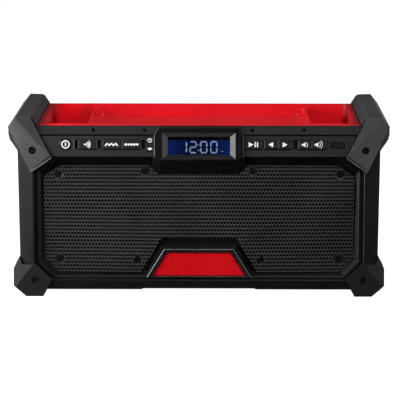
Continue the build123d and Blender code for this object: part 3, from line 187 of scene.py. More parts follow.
def eased(node_name, finish, body="cabinet", radius=0.35, angle=7.0):
    """The node's own shape as one clean mesh. Edges sharper than the angle are rounded, as a mould
    leaves them, where their ends have room for the radius."""
    shape = bmesh.new()
    shape.from_mesh(nodes[node_name].data)
    bmesh.ops.remove_doubles(shape, verts=shape.verts, dist=0.004 * mm)
    bmesh.ops.dissolve_limit(shape, angle_limit=math.radians(0.6), verts=shape.verts,
                             edges=shape.edges)
    crisp(shape, 24)
    room = 1.3 * radius * mm
    roomy = {vert for vert in shape.verts
             if min(edge.calc_length() for edge in vert.link_edges) > room}
    long_edges = [edge for edge in shape.edges
                  if edge.calc_face_angle(0.0) > math.radians(angle)
                  and edge.verts[0] in roomy and edge.verts[1] in roomy]
    for edge in long_edges:
        edge.smooth = True
    bmesh.ops.bevel(shape, geom=long_edges, offset=radius * mm, offset_type="OFFSET",
                    affect="EDGES", segments=2, profile=0.5, clamp_overlap=True, material=-1)
    return finished(shape, node_name + "_moulding", finish, body, (node_name,))


def dress(finish, *node_names):
    """A node whose shape is right keeps it, and gets the finish."""
    for node_name in node_names:
        for holder in nodes[node_name].material_slots:
            holder.material = finish


cabinet_skin = moulded_plastic("cabinet_skin", (0.0014, 0.0014, 0.0015), (0.0022, 0.0022, 0.0024),
                               rough=0.42, grain=1500.0, relief=0.00010, wear_and_sheen=0.5, gloss=0.24)
eased("front_cabinet", cabinet_skin)
rear_skin = moulded_plastic("rear_skin", (0.0042, 0.0042, 0.0044), (0.0064, 0.0064, 0.0066),
                            rough=0.46, grain=1300.0, relief=0.00014, wear_and_sheen=0.6, gloss=0.4)
eased("rear_cabinet", rear_skin)
inner_skin = moulded_plastic("inner_skin", (0.010, 0.010, 0.010), (0.015, 0.015, 0.015),
                             rough=0.55, grain=1100.0, relief=0.0001, wear_and_sheen=0.3)
dress(inner_skin, "left_grip_cup", "right_grip_cup", "battery_bay", "aux_compartment")

# ---- Tool tray -------------------------------------------------------------------------------
# One red ABS moulding let into the cabinet's top: a shallow pan between two deep bins.
# The red is dyed right through and satin outside, its edges worn paler, and its floors carry a
# painted sheen.


def coordinate(tree, axis):
    """X, Y or Z on the surface, in metres, or facing, the Z of its normal."""
    split = tree.nodes.new("ShaderNodeSeparateXYZ")
    if axis == "facing":
        surface = tree.nodes.new("ShaderNodeNewGeometry")
        tree.links.new(surface.outputs["Normal"], split.inputs["Vector"])
        return split.outputs["Z"]
    place = tree.nodes.new("ShaderNodeTexCoord")
    tree.links.new(place.outputs["Object"], split.inputs["Vector"])
    return split.outputs[axis]


def tinted(finish, tint, x=None, y=None, z=None, facing=None, soft=0.0):
    """Darker or lighter between two levels of x, y or z in mm, or of facing. A level of None
    leaves that side open, and soft fades each level over so many mm either way."""
    tree = finish.node_tree
    share = None
    for axis, levels in (("X", x), ("Y", y), ("Z", z), ("facing", facing)):
        unit = 1.0 if axis == "facing" else mm
        for over, level in zip((True, False), levels or ()):
            if level is None:
                continue
            value = coordinate(tree, axis)
            if soft:
                test = ranged(tree, value, ((level - soft) * unit, (level + soft) * unit),
                              (0.0, 1.0) if over else (1.0, 0.0))
            else:
                test = maths(tree, "GREATER_THAN" if over else "LESS_THAN", value, level * unit)
            share = test if share is None else maths(tree, "MULTIPLY", share, test)
    base = tree.nodes["Principled BSDF"].inputs["Base Color"]
    tree.links.new(mixed(tree, share, base.links[0].from_socket, (tint, tint, tint), "MULTIPLY"),
                   base)


tray_red = moulded_plastic("tray_red", (0.61, 0.0012, 0.0065), (0.69, 0.0024, 0.011),
                           rough=0.40, grain=900.0, relief=0.00006, wear_and_sheen=0.2, edge=0.9,
                           gloss=0.38, painted_shade=0)
# painted shade: the bins are darkened by their outer walls, and the lip along its lower edge
bin_end, lip_front, lip_foot = 166.5, -89.4, 190.2
tinted(tray_red, 0.6, x=(bin_end, None))
tinted(tray_red, 0.6, x=(None, -bin_end))
tinted(tray_red, 0.35, y=(None, lip_front), z=(None, lip_foot))
# painted light: the left bin's back wall is lightened towards the top
left_bin, painted_light_foot = (-163.0, -139.0), 176.0
tinted(tray_red, 1.45, x=left_bin, z=(painted_light_foot, None), soft=6.0)
# painted sheen: the upward-facing floors are lightened
floor_head, level = 186.0, 0.9
tinted(tray_red, 1.25, z=(None, floor_head), facing=(level, None))
eased("tray", tray_red, radius=0.4)

# ---- Control fascia --------------------------------------------------------------------------
# A black ABS panel screwed into the cabinet's front. It carries the keys below a groove, and its
# leaning top strip ends under the tray's lip.

fascia_skin = moulded_plastic("fascia_skin", (0.016, 0.016, 0.0163), (0.021, 0.021, 0.0214),
                              rough=0.58, grain=1900.0, relief=0.00006, wear_and_sheen=0.35, gloss=0.12)
# painted shade: the leaning strip is darkened a shade, and the groove, the slots and the key
# pockets are painted almost black; the shallow field for the label is darkened by half
groove_foot, groove_top = 179.35, 181.5
panel_front, label_field_front, label_field_back = -96.3, -95.56, -95.44
tinted(fascia_skin, 0.62, z=(groove_top, None))
tinted(fascia_skin, 0.04, y=(panel_front, label_field_front), z=(None, groove_foot))
tinted(fascia_skin, 0.04, y=(label_field_back, None), z=(None, groove_foot))
tinted(fascia_skin, 0.03, z=(groove_foot, groove_top))
tinted(fascia_skin, 0.5, y=(label_field_front, label_field_back), z=(None, groove_foot))
# a painted shadow under each group of keys
shadow_foot, shadow_head = 163.8, 165.2
for left, right in ((-132.3, -111.7), (-106.0, -63.3), (50.4, 69.8), (71.2, 102.3),
                    (109.3, 139.9)):
    tinted(fascia_skin, 0.02, x=(left, right), y=(None, panel_front), z=(shadow_foot, shadow_head))
# a painted highlight on the left lip of three of the slots
slot_foot, slot_head = 164.8, 175.8
for slot_left in (-136.5, -110.9, -62.6):
    tinted(fascia_skin, 4.0, x=(slot_left - 1.5, slot_left - 0.4), y=(None, panel_front),
           z=(slot_foot, slot_head))
eased("control_fascia", fascia_skin, radius=0.25)

# ---- Display pod, lens and clock module ------------------------------------------------------
# A facetted bezel stands proud of the fascia round a clear acrylic window. The clock is a blue
# liquid-crystal module behind the window, lit from both its ends, with plain digits.

pod_skin = moulded_plastic("pod_skin", (0.0018, 0.0018, 0.0019), (0.0028, 0.0028, 0.0029),
                           rough=0.36, grain=2100.0, relief=0.00005, wear_and_sheen=0.12, gloss=0.37)
# painted light: the downward-facing brow over the window is lightened many times over, as if lit by
# the clock
brow_foot, turned_down = 178.0, -0.5
tinted(pod_skin, 18.0, z=(brow_foot, None), facing=(None, turned_down))
eased("display_pod", pod_skin, radius=0.2, angle=5.0)

window, tree, pane = new_finish("window", {
    "Base Color": (0.80, 0.86, 0.95), "Transmission Weight": 1.0, "IOR": 1.49})
wipe_marks = ranged(tree, noise(tree, per_metre=80.0), target=(0.0, 0.03))
tree.links.new(wipe_marks, pane.inputs["Roughness"])
dress(window, "display_lens")

lit_blue, tree, glow = new_finish("lit_blue", {
    "Base Color": (0.004, 0.008, 0.03), "Roughness": 0.5, "Specular IOR Level": 0.1,
    "Emission Strength": 0.9})
off_centre = maths(tree, "ABSOLUTE", coordinate(tree, "X"))
to_lamps = ranged(tree, off_centre, source=(12 * mm, 36 * mm))
blues = mixed(tree, to_lamps, (0.0022, 0.006, 0.035), (0.005, 0.016, 0.10))
tree.links.new(blues, glow.inputs["Emission Color"])
dress(lit_blue, "lcd_module")

digit_glow, tree, glow = new_finish("digit_glow", {
    "Base Color": (0.1, 0.12, 0.16), "Roughness": 0.4, "Emission Strength": 0.60})
up_digit = ranged(tree, coordinate(tree, "Z"), source=(160 * mm, 173 * mm))
pale = mixed(tree, up_digit, (0.17, 0.30, 0.27), (0.19, 0.23, 0.46))
tree.links.new(pale, glow.inputs["Emission Color"])

digit_width, digit_height, digit_foot = 8.2, 13.8, 159.9
stroke, upright_gap, level_gap = 1.6, 0.75, 0.2
glass_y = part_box("lcd_module")[0].y / mm
digit_front, border_front = glass_y - 0.15, glass_y - 0.2
lit_bars = {"0": "abcdef", "1": "bc", "2": "abged"}


def bar_face(shape, centre, length, across, upright):
    """One pointed bar of a seven-bar digit, as a face that looks forward."""
    tip, half = length / 2, across / 2
    outline = ((-tip, 0), (-tip + half, -half), (tip - half, -half), (tip, 0),
               (tip - half, half), (-tip + half, half))
    corners = []
    for along, aside in outline:
        x, z = (aside, along) if upright else (along, aside)
        corners.append(shape.verts.new(((centre[0] + x) * mm, digit_front * mm,
                                        (centre[1] + z) * mm)))
    shape.faces.new(corners)


def thickened(shape, depth):
    """Flat outlines become closed plates, depth mm deep, with their faces outward."""
    grown = bmesh.ops.extrude_face_region(shape, geom=shape.faces[:])
    moved = [g for g in grown["geom"] if isinstance(g, bmesh.types.BMVert)]
    bmesh.ops.translate(shape, verts=moved, vec=(0, depth * mm, 0))
    bmesh.ops.recalc_face_normals(shape, faces=shape.faces)
    crisp(shape, 40)


clock_face = bmesh.new()
for digit, left_x in (("1", -21.0), ("2", -10.3), ("0", 1.3), ("0", 12.4)):
    middle_x, middle_z = left_x + digit_width / 2, digit_foot + digit_height / 2
    side = (digit_width - stroke) / 2
    rise = (digit_height - stroke) / 2
    bars = {"a": ((0, rise), False), "g": ((0, 0), False), "d": ((0, -rise), False),
            "f": ((-side, rise / 2), True), "b": ((side, rise / 2), True),
            "e": ((-side, -rise / 2), True), "c": ((side, -rise / 2), True)}
    for bar in lit_bars[digit]:
        (dx, dz), upright = bars[bar]
        length = rise - upright_gap if upright else 2 * side - level_gap
        bar_face(clock_face, (middle_x + dx, middle_z + dz), length, stroke, upright)
for height_share in (0.26, 0.69):
    colon_dot = (-0.5, digit_foot + height_share * digit_height)
    bar_face(clock_face, colon_dot, length=1.9, across=1.7, upright=True)
dash = (25.6, digit_foot + 0.17 * digit_height)
bar_face(clock_face, dash, length=3.0, across=0.7, upright=False)
thickened(clock_face, 0.1)
finished(clock_face, "clock_digits", digit_glow, "cabinet")

# the black border printed on the module hides the lamp above the digits
border_ink = moulded_plastic("border_ink", (0.0015, 0.0015, 0.002), (0.003, 0.003, 0.0035),
                             rough=0.7, grain=3000.0, relief=0.00001, wear_and_sheen=0.0, gloss=0.05)
border = bmesh.new()
border_half, border_foot, border_head = 35.3, 174.9, 179.5
border.faces.new([border.verts.new((x * mm, border_front * mm, z * mm))
                  for x, z in ((-border_half, border_foot), (border_half, border_foot),
                               (border_half, border_head), (-border_half, border_head))])
thickened(border, 0.15)
finished(border, "clock_border", border_ink, "cabinet")

# ---- Push keys -------------------------------------------------------------------------------
# Eleven satin ABS keys stand 1.2 mm out of the fascia, each over a dome of the rubber mat. Their
# marks are printed in white ink, generic signs only.

key_skin = moulded_plastic("key_skin", (0.009, 0.009, 0.0095), (0.013, 0.013, 0.0135),
                           rough=0.36, grain=2400.0, relief=0.00004, wear_and_sheen=0.6, edge=0.4)
for key in sorted(name for name in nodes if name.endswith("_button")):
    eased(key, key_skin, body=key, radius=0.25)

ink, tree, flat_ink = new_finish("white_ink", {"Specular IOR Level": 0.3})
thin_spots = noise(tree, per_metre=900.0)
ink_tone = mixed(tree, ranged(tree, thin_spots, source=(0.3, 0.55)), (0.62, 0.62, 0.61),
                 (0.86, 0.86, 0.85))
tree.links.new(ink_tone, flat_ink.inputs["Base Color"])
tree.links.new(ranged(tree, thin_spots, target=(0.35, 0.6)), flat_ink.inputs["Roughness"])
film = 0.06


def outline_face(shape, y, points):
    """A printed patch with the given corners, in mm."""
    shape.faces.new([shape.verts.new((x * mm, y * mm, z * mm)) for x, z in points])


def arc_face(shape, y, centre, inner, outer, steps, start=0, sweep=360):
    """A printed ring, disc or arc: a short edge spun about the centre, from start through sweep
    degrees, counted from +X towards +Z."""
    near = [shape.verts.new(((centre[0] + r) * mm, y * mm, centre[1] * mm)) for r in (inner, outer)]
    edge = shape.edges.new(near)
    pivot = Vector((centre[0] * mm, y * mm, centre[1] * mm))
    bmesh.ops.rotate(shape, verts=near, cent=pivot,
                     matrix=Matrix.Rotation(math.radians(-start), 3, "Y"))
    bmesh.ops.spin(shape, geom=[edge, *near], cent=pivot, axis=(0, -1, 0),
                   angle=math.radians(sweep), steps=steps, use_merge=sweep >= 360)


def stroke_face(shape, y, start, end, width):
    """A straight printed line between two points."""
    (x0, z0), (x1, z1) = start, end
    length = math.hypot(x1 - x0, z1 - z0)
    dx, dz = -(z1 - z0) / length * width / 2, (x1 - x0) / length * width / 2
    outline_face(shape, y, ((x0 + dx, z0 + dz), (x0 - dx, z0 - dz), (x1 - dx, z1 - dz),
                            (x1 + dx, z1 + dz)))


def power_mark(shape, y, x, z):
    middle, half_tall = x + 0.3, 2.0
    arc_face(shape, y, (middle, z), inner=3.5, outer=4.55, steps=32)
    stroke_face(shape, y, (middle, z - half_tall), (middle, z + half_tall), width=1.1)


def wireless_mark(shape, y, x, z):
    source, half_line = (x - 3.2, z), 0.45
    arc_face(shape, y, source, inner=0.0, outer=0.95, steps=12)
    for radius in (2.3, 4.1, 5.9):
        arc_face(shape, y, source, radius - half_line, radius + half_line, steps=8, start=-42,
                 sweep=84)


def band_mark(shape, y, x, z):
    left, step, half_tall = x - 6.9, 2.3, 1.5
    for i in range(6):
        rise = half_tall if i % 2 == 0 else -half_tall
        stroke_face(shape, y, (left + i * step, z - rise), (left + (i + 1) * step, z + rise),
                    width=1.25)


def preset_mark(shape, y, x, z):
    left, step = x - 6.4, 3.2
    for i in range(5):
        arc_face(shape, y, (left + i * step, z), inner=0.0, outer=1.35, steps=14)


def clock_mark(shape, y, x, z):
    x += 0.7
    arc_face(shape, y, (x, z), inner=1.7, outer=2.4, steps=20)
    stroke_face(shape, y, (x, z - 0.2), (x, z + 1.4), width=0.6)
    stroke_face(shape, y, (x - 0.2, z), (x + 1.1, z), width=0.6)


def tone_mark(shape, y, x, z):
    x += 0.6
    half_wide, half_tall = 2.8, 1.7
    outline_face(shape, y, ((x - half_wide, z), (x, z - half_tall), (x + half_wide, z),
                            (x, z + half_tall)))


def triangle(shape, y, x, z, wide, tall=5.6):
    """A triangle that points right, or left if its width is negative."""
    outline_face(shape, y, ((x - wide / 2, z - tall / 2), (x + wide / 2, z),
                            (x - wide / 2, z + tall / 2)))


def play_mark(shape, y, x, z):
    triangle(shape, y, x - 2.7, z, 5.4)
    half_tall = 2.8
    for bar_x in (x + 1.7, x + 4.3):
        stroke_face(shape, y, (bar_x, z - half_tall), (bar_x, z + half_tall), width=1.25)


def previous_mark(shape, y, x, z):
    triangle(shape, y, x, z, -5.4)


def next_mark(shape, y, x, z):
    triangle(shape, y, x, z, 5.4)


def volume_down_mark(shape, y, x, z, waves=(4.0,)):
    back, throat, mouth = x - 3.6, x - 2.4, x + 0.6
    half_back, half_mouth, half_line = 0.9, 2.6, 0.28
    outline_face(shape, y, ((back, z - half_back), (throat, z - half_back),
                            (mouth, z - half_mouth), (mouth, z + half_mouth),
                            (throat, z + half_back), (back, z + half_back)))
    for radius in waves:
        arc_face(shape, y, (x - 1.2, z), radius - half_line, radius + half_line, steps=8,
                 start=-44, sweep=88)


def volume_up_mark(shape, y, x, z):
    volume_down_mark(shape, y, x - 1.2, z, waves=(4.0, 6.2))


marks = {"power": power_mark, "wireless": wireless_mark, "band": band_mark,
         "preset": preset_mark, "clock": clock_mark, "tone": tone_mark, "play": play_mark,
         "previous": previous_mark, "next": next_mark, "volume_down": volume_down_mark,
         "volume_up": volume_up_mark}
for key_name, draw in marks.items():
    key = key_name + "_button"
    low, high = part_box(key)
    mark = bmesh.new()
    draw(mark, low.y / mm - film, (low.x + high.x) / 2 / mm, (low.z + high.z) / 2 / mm)
    thickened(mark, 2 * film)
    finished(mark, key + "_mark", ink, key)

# ---- Bare label ------------------------------------------------------------------------------
# The raised rim of a blank black film, 0.1 mm thick, stuck into the shallow field at the right of
# the keys.

label = bmesh.new()
label_y, label_left, label_right, label_foot, label_head = -95.6, 144.9, 160.0, 166.3, 172.3
for start, end in (((label_left, label_foot), (label_right, label_foot)),
                   ((label_left, label_head), (label_right, label_head)),
                   ((label_left, label_foot), (label_left, label_head)),
                   ((label_right, label_foot), (label_right, label_head))):
    stroke_face(label, label_y, start, end, width=0.9)
thickened(label, 0.1)
finished(label, "bare_label", border_ink, "cabinet")

# ---- Key mat and key board -------------------------------------------------------------------
# A moulded silicone mat with a dome under each key lies on a green glass-fibre board, held behind
# the fascia, which also carries the clock.

silicone = moulded_plastic("silicone", (0.016, 0.016, 0.017), (0.024, 0.024, 0.026), rough=0.62,
                           grain=1600.0, relief=0.00003, wear_and_sheen=0.0)
dress(silicone, "keypad_mat")


def circuit_board(name, mask, copper):
    """Green solder resist over copper tracks, which show through as paler lines."""
    board, tree, shader = new_finish(name, {})
    place = tree.nodes.new("ShaderNodeTexCoord")
    turn = tree.nodes.new("ShaderNodeMapping")
    turn.inputs["Rotation"].default_value = (math.radians(90), 0, 0)
    tree.links.new(place.outputs["Object"], turn.inputs["Vector"])
    tracks = tree.nodes.new("ShaderNodeTexBrick")
    tracks.inputs["Scale"].default_value = 90.0
    tracks.inputs["Mortar Size"].default_value = 0.06
    tracks.inputs["Color1"].default_value = (*mask, 1.0)
    tracks.inputs["Color2"].default_value = (*(0.8 * c for c in mask), 1.0)
    tracks.inputs["Mortar"].default_value = (*copper, 1.0)
    tree.links.new(turn.outputs["Vector"], tracks.inputs["Vector"])
    tree.links.new(tracks.outputs["Color"], shader.inputs["Base Color"])
    flux = ranged(tree, noise(tree, per_metre=120.0), target=(0.22, 0.45))
    tree.links.new(flux, shader.inputs["Roughness"])
    bumped(tree, shader, tracks.outputs["Fac"], 0.6, 0.00005)
    return board


green_board = circuit_board("green_board", (0.012, 0.075, 0.025), (0.05, 0.16, 0.05))
dress(green_board, "control_board")

# ---- Speaker grille --------------------------------------------------------------------------
# Steel sheet, 1.2 mm thick and punched all over in staggered rows, is pressed into creased facets
# round the badge and powder coated black. Eight screws hold it in pressed cups.

grille_seat, sheet = -86.8, 1.2
opening_half, opening_foot, opening_head = 171.7, 26.0, 145.5
pitch_x, pitch_z, hole_radius = 3.56, 8.2, 1.5
crease_outer, crease_bend, crease_inner = (165.0, 117.5), (112.0, 97.2), (46.0, 61.7)
lean, lean_head = 6.0, opening_head + 0.3
outer_foot, badge_foot, facet_foot_z = 156.9, 64.5, 25.7


def centre_facet(z):
    """The middle of the sheet leans forward, from its head down to the badge."""
    return grille_seat - sheet - lean * (lean_head - z) / (lean_head - crease_inner[1])


def plane_through(points):
    """Depth y over (x, z) on the plane through three points (x, y, z)."""
    a, b, c = (Vector(p) for p in points)
    normal = (b - a).cross(c - a)
    return lambda x, z: a.y - (normal.x * (x - a.x) + normal.z * (z - a.z)) / normal.y


def on_centre(point):
    return (point[0], centre_facet(point[1]), point[1])


outer_facet = plane_through((on_centre(crease_outer), on_centre(crease_bend),
                             (outer_foot, grille_seat - sheet, facet_foot_z)))
inner_facet = plane_through((on_centre(crease_bend), on_centre(crease_inner),
                             (badge_foot, grille_seat - sheet, facet_foot_z)))


def grille_y(x, z):
    x = abs(x)
    return max(centre_facet(z), min(outer_facet(x, z), inner_facet(x, z)))


# one hole in a lozenge of sheet; the lozenges fit together in staggered rows
cell = bmesh.new()
half_x, half_z = pitch_x / 2 * mm, pitch_z / 2 * mm
bmesh.ops.create_circle(cell, cap_ends=False, segments=10, radius=hole_radius * mm)
hole_edges = list(cell.edges)
rim = [cell.verts.new((x, z, 0)) for x, z in ((-half_x, 0), (0, -half_z), (half_x, 0), (0, half_z))]
rim_edges = [cell.edges.new((rim[i - 1], rim[i])) for i in range(len(rim))]
bmesh.ops.triangle_fill(cell, use_beauty=True, use_dissolve=False, edges=hole_edges + rim_edges,
                        normal=(0, 0, 1))


def everything(shape):
    return shape.verts[:] + shape.edges[:] + shape.faces[:]


def copied(shape, step):
    """A copy of the whole shape, moved by the step."""
    copy = bmesh.ops.duplicate(shape, geom=everything(shape))
    fresh = [g for g in copy["geom"] if isinstance(g, bmesh.types.BMVert)]
    bmesh.ops.translate(shape, verts=fresh, vec=step)


# each doubling makes the field twice as large; every second row stands half a step aside
copied(cell, (half_x, half_z, 0))
doublings_across, doublings_up = 7, 4
for i in range(doublings_across):
    copied(cell, (pitch_x * 2 ** i * mm, 0, 0))
for i in range(doublings_up):
    copied(cell, (0, pitch_z * 2 ** i * mm, 0))
bmesh.ops.remove_doubles(cell, verts=cell.verts, dist=0.01 * mm)
bmesh.ops.rotate(cell, verts=cell.verts, cent=(0, 0, 0),
                 matrix=Matrix.Rotation(math.radians(90), 3, "X"))
field_left, field_foot = -pitch_x * 2 ** (doublings_across - 1), opening_foot - 1.5
bmesh.ops.translate(cell, verts=cell.verts, vec=(field_left * mm, 0, field_foot * mm))


def cut(shape, start, end, side=1, drop=False):
    """Cuts the sheet along a line, mirrored if the side is -1. May drop what is to its right."""
    right_of_line = (side * (end[1] - start[1]), 0, -(end[0] - start[0]))
    bmesh.ops.bisect_plane(shape, geom=everything(shape), dist=0.0005 * mm,
                           plane_co=(side * start[0] * mm, 0, start[1] * mm),
                           plane_no=right_of_line, clear_outer=drop)


lower_corner, upper_corner_x, upper_corner_z = 14.9, 18.4, 12.0
outline = ((0, opening_foot), (opening_half - lower_corner, opening_foot),
           (opening_half, opening_foot + lower_corner),
           (opening_half, opening_head - upper_corner_z),
           (opening_half - upper_corner_x, opening_head), (0, opening_head))
for side in (1, -1):
    for start, end in zip(outline, outline[1:]):
        cut(cell, start, end, side, drop=True)
# the sheet stops round the badge at its foot and under the display's hood
badge_notch = ((badge_foot, facet_foot_z), (41.3, 64.9))
hood_notch = ((44.8, 135.8), (53.4, 144.4))
for side in (1, -1):
    for start, end in (badge_notch, hood_notch):
        cut(cell, start, end, side)
for notch_z in (badge_notch[1][1], hood_notch[0][1]):
    cut(cell, (0, notch_z), (-1, notch_z))


def in_notch(x, z):
    x = abs(x)
    (badge_x, badge_z), (badge_head_x, badge_head_z) = badge_notch
    hood_x, hood_z = hood_notch[0]
    slope = (badge_x - badge_head_x) / (badge_head_z - badge_z)
    under = z < badge_head_z and x < badge_head_x + slope * (badge_head_z - z)
    over = z > hood_z and x < hood_x + (z - hood_z)
    return under or over


# the screws, on each side: upper corner, by the hood, lower corner, by the badge
grille_screws = [(side * x, z) for side in (1, -1)
                 for x, z in ((156, 136), (59.3, 139.5), (154.8, 41), (68.3, 39))]
cup_hole_radius = 4.0


def in_cup(x, z):
    return any(math.hypot(x - sx, z - sz) < cup_hole_radius for sx, sz in grille_screws)


lost = []
for face in cell.faces:
    middle = face.calc_center_median() / mm
    if in_notch(middle.x, middle.z) or in_cup(middle.x, middle.z):
        lost.append(face)
bmesh.ops.delete(cell, geom=lost, context="FACES")
for side in (1, -1):
    for start, end in ((crease_outer, crease_bend), (crease_bend, crease_inner)):
        cut(cell, start, end, side)
for vert in cell.verts:
    vert.co.y = grille_y(vert.co.x / mm, vert.co.z / mm) * mm
bmesh.ops.recalc_face_normals(cell, faces=cell.faces)
if sum(face.normal.y for face in cell.faces) > 0:
    bmesh.ops.reverse_faces(cell, faces=cell.faces)
bmesh.ops.solidify(cell, geom=cell.faces[:], thickness=sheet * mm)
crisp(cell, 40)

coated_steel = moulded_plastic("coated_steel", (0.018, 0.018, 0.018), (0.027, 0.027, 0.027),
                               rough=0.40, grain=2600.0, relief=0.00004, wear_and_sheen=0.3, edge=0.2)
finished(cell, "punched_sheet", coated_steel, "cabinet", ("speaker_grille",))

cups = bmesh.new()
cup_floor, screw_hole, cup_wall_foot, cup_wall_head, cup_rim = -88.0, 2.0, 3.7, 4.6, 5.9
for sx, sz in grille_screws:
    front = grille_y(sx, sz)
    # radius and depth of each point of the cup's section
    section = ((screw_hole, cup_floor), (cup_wall_foot, cup_floor), (cup_wall_head, front + 0.25),
               (cup_rim, front - 0.05), (cup_rim, front + sheet * 0.5), (3.2, cup_floor + 0.5),
               (screw_hole, cup_floor + 0.5))
    cup = [cups.verts.new(((sx + r) * mm, y * mm, sz * mm)) for r, y in section]
    edges = [cups.edges.new((cup[i], cup[(i + 1) % len(cup)])) for i in range(len(cup))]
    bmesh.ops.spin(cups, geom=[*cup, *edges], cent=(sx * mm, 0, sz * mm), axis=(0, 1, 0),
                   angle=math.tau, steps=20, use_merge=True)
    # the rim follows the tilt of the facet that it was pressed into
    for vert in cups.verts:
        x, z = vert.co.x / mm - sx, vert.co.z / mm - sz
        if cup_wall_head - 0.4 < math.hypot(x, z) < cup_rim + 0.3:
            vert.co.y += (grille_y(sx + x, sz + z) - front) * mm
bmesh.ops.recalc_face_normals(cups, faces=cups.faces)
crisp(cups, 35)
# painted shade: the cups take a much darker copy of the sheet's black coat, for the shade inside
# them
cup_painted_shade = moulded_plastic("cup_painted_shade", (0.004, 0.004, 0.004), (0.007, 0.007, 0.007),
                            rough=0.36, grain=2600.0, relief=0.00004, wear_and_sheen=0.3, edge=0.2)
finished(cups, "pressed_cups", cup_painted_shade, "cabinet")

# ---- Speakers --------------------------------------------------------------------------------
# Two full-range drivers behind the grille: a pressed-steel basket, a felted paper cone on a rubber
# surround, a dust cap, and a ferrite ring magnet. A foam gasket seals each to the cabinet.

cone_paper = moulded_plastic("cone_paper", (0.0022, 0.0022, 0.0022), (0.0045, 0.0044, 0.0042),
                             rough=0.8, grain=2600.0, relief=0.00012, wear_and_sheen=0.0, gloss=0.2)
roll_rubber = moulded_plastic("roll_rubber", (0.002, 0.002, 0.002), (0.0035, 0.0035, 0.0035),
                              rough=0.55, grain=2200.0, relief=0.00002, wear_and_sheen=0.0, gloss=0.3)
gasket_foam = moulded_plastic("gasket_foam", (0.002, 0.002, 0.002), (0.006, 0.006, 0.006),
                              rough=0.9, grain=1400.0, relief=0.0002, wear_and_sheen=0.0, gloss=0.1)
basket_paint = moulded_plastic("basket_paint", (0.006, 0.006, 0.006), (0.009, 0.009, 0.009),
                               rough=0.4, grain=900.0, relief=0.00003, wear_and_sheen=0.4)
ferrite = moulded_plastic("ferrite", (0.020, 0.020, 0.021), (0.036, 0.036, 0.038),
                          rough=0.66, grain=1900.0, relief=0.00005, wear_and_sheen=0.3, edge=0.5)
for side in ("left", "right"):
    speaker = side + "_speaker_"
    dress(cone_paper, speaker + "cone", speaker + "dust_cap")
    dress(roll_rubber, speaker + "surround")
    dress(gasket_foam, speaker + "gasket")
    dress(basket_paint, speaker + "basket")
    dress(ferrite, speaker + "magnet")

# ---- Screws ----------------------------------------------------------------------------------
# Pan-head steel screws with a six-lobe recess each, plated in black zinc and driven down into the
# cups and counterbores.


def bare_metal(name, dark, light, shiny, dull, blotches):
    """Plated or drawn metal: two tones and two roughnesses in blotches, so many per metre."""
    finish, tree, shader = new_finish(name, {"Metallic": 1.0})
    plating = noise(tree, per_metre=blotches)
    tree.links.new(mixed(tree, plating, dark, light), shader.inputs["Base Color"])
    tree.links.new(ranged(tree, plating, target=(shiny, dull)), shader.inputs["Roughness"])
    return finish


# the plating varies in blotches, and its pale blotches also stand as painted glints in the recesses
black_zinc = bare_metal("black_zinc", (0.02, 0.02, 0.021), (0.30, 0.30, 0.31), shiny=0.12,
                        dull=0.34, blotches=900.0)
dress(black_zinc, "grille_screws", "handle_screws", "foot_screws", "strip_screws", "shell_screws")

# ---- Badge -----------------------------------------------------------------------------------
# A bare red plate, painted and lacquered, in a glossy black trapezoid frame that snaps into the
# foot of the grille.

frame_skin = moulded_plastic("frame_skin", (0.005, 0.005, 0.0052), (0.008, 0.008, 0.0082),
                             rough=0.30, grain=2100.0, relief=0.00005, wear_and_sheen=1.0, gloss=0.6)
eased("badge_frame", frame_skin, radius=0.45)
badge_paint = moulded_plastic("badge_paint", (0.43, 0.0012, 0.004), (0.49, 0.002, 0.006),
                              rough=0.30, grain=700.0, relief=0.00003, wear_and_sheen=0.2, coat=0.3)
eased("badge_plate", badge_paint, radius=0.4)

# ---- Carrying bars and feet ------------------------------------------------------------------
# The bars are one grey glass-filled nylon moulding at each end, screwed on through their plates.
# The four corner feet are softer, overmoulded rubber blocks that take the knocks.

# the bars' wide pale edges are partly wear and partly painted highlight lines along them
bar_skin = moulded_plastic("bar_skin", (0.040, 0.040, 0.042), (0.055, 0.055, 0.058), rough=0.50,
                           grain=1000.0, relief=0.00016, wear_and_sheen=1.0, edge=1.1, gloss=0.20)
# painted shade: the facets of the bars that face the tray, and the inner, upward-facing facets of
# the end plates, are darkened
grip_inside, grip_foot, grip_front = 183.4, 189.2, -92.9
plate_back, plate_head, turned_up = -93.2, 200.0, 0.1
tinted(bar_skin, 0.5, x=(-grip_inside, grip_inside), y=(grip_front, None), z=(grip_foot, None))
tinted(bar_skin, 0.72, y=(None, plate_back), z=(None, plate_head), facing=(turned_up, None))
for side in ("left", "right"):
    eased(side + "_handle", bar_skin, radius=0.6, angle=4.0)
foot_skin = moulded_plastic("foot_skin", (0.0023, 0.0023, 0.0025), (0.0038, 0.0038, 0.0041),
                            rough=0.50, grain=1300.0, relief=0.00012, wear_and_sheen=0.5, gloss=0.32)
for end in ("front_left", "front_right", "rear_left", "rear_right"):
    eased(end + "_foot", foot_skin, radius=0.5, angle=4.0)

# ---- Main board ------------------------------------------------------------------------------
# The amplifier board inside the rear shell, with a finned aluminium heat sink on it and the ferrite
# rod of the AM antenna clipped above it.

main_green = circuit_board("main_green", (0.010, 0.065, 0.022), (0.045, 0.15, 0.045))
dress(main_green, "main_board")
cast_aluminium = bare_metal("cast_aluminium", (0.55, 0.56, 0.57), (0.72, 0.73, 0.74), shiny=0.35,
                            dull=0.5, blotches=240.0)
dress(cast_aluminium, "heat_sink")
dress(ferrite, "ferrite_antenna")

# ---- Battery dock ----------------------------------------------------------------------------
# The slide-on dock at the foot of the rear bay: glass-filled nylon rails and terminal block, and
# nickel-plated spring blades.

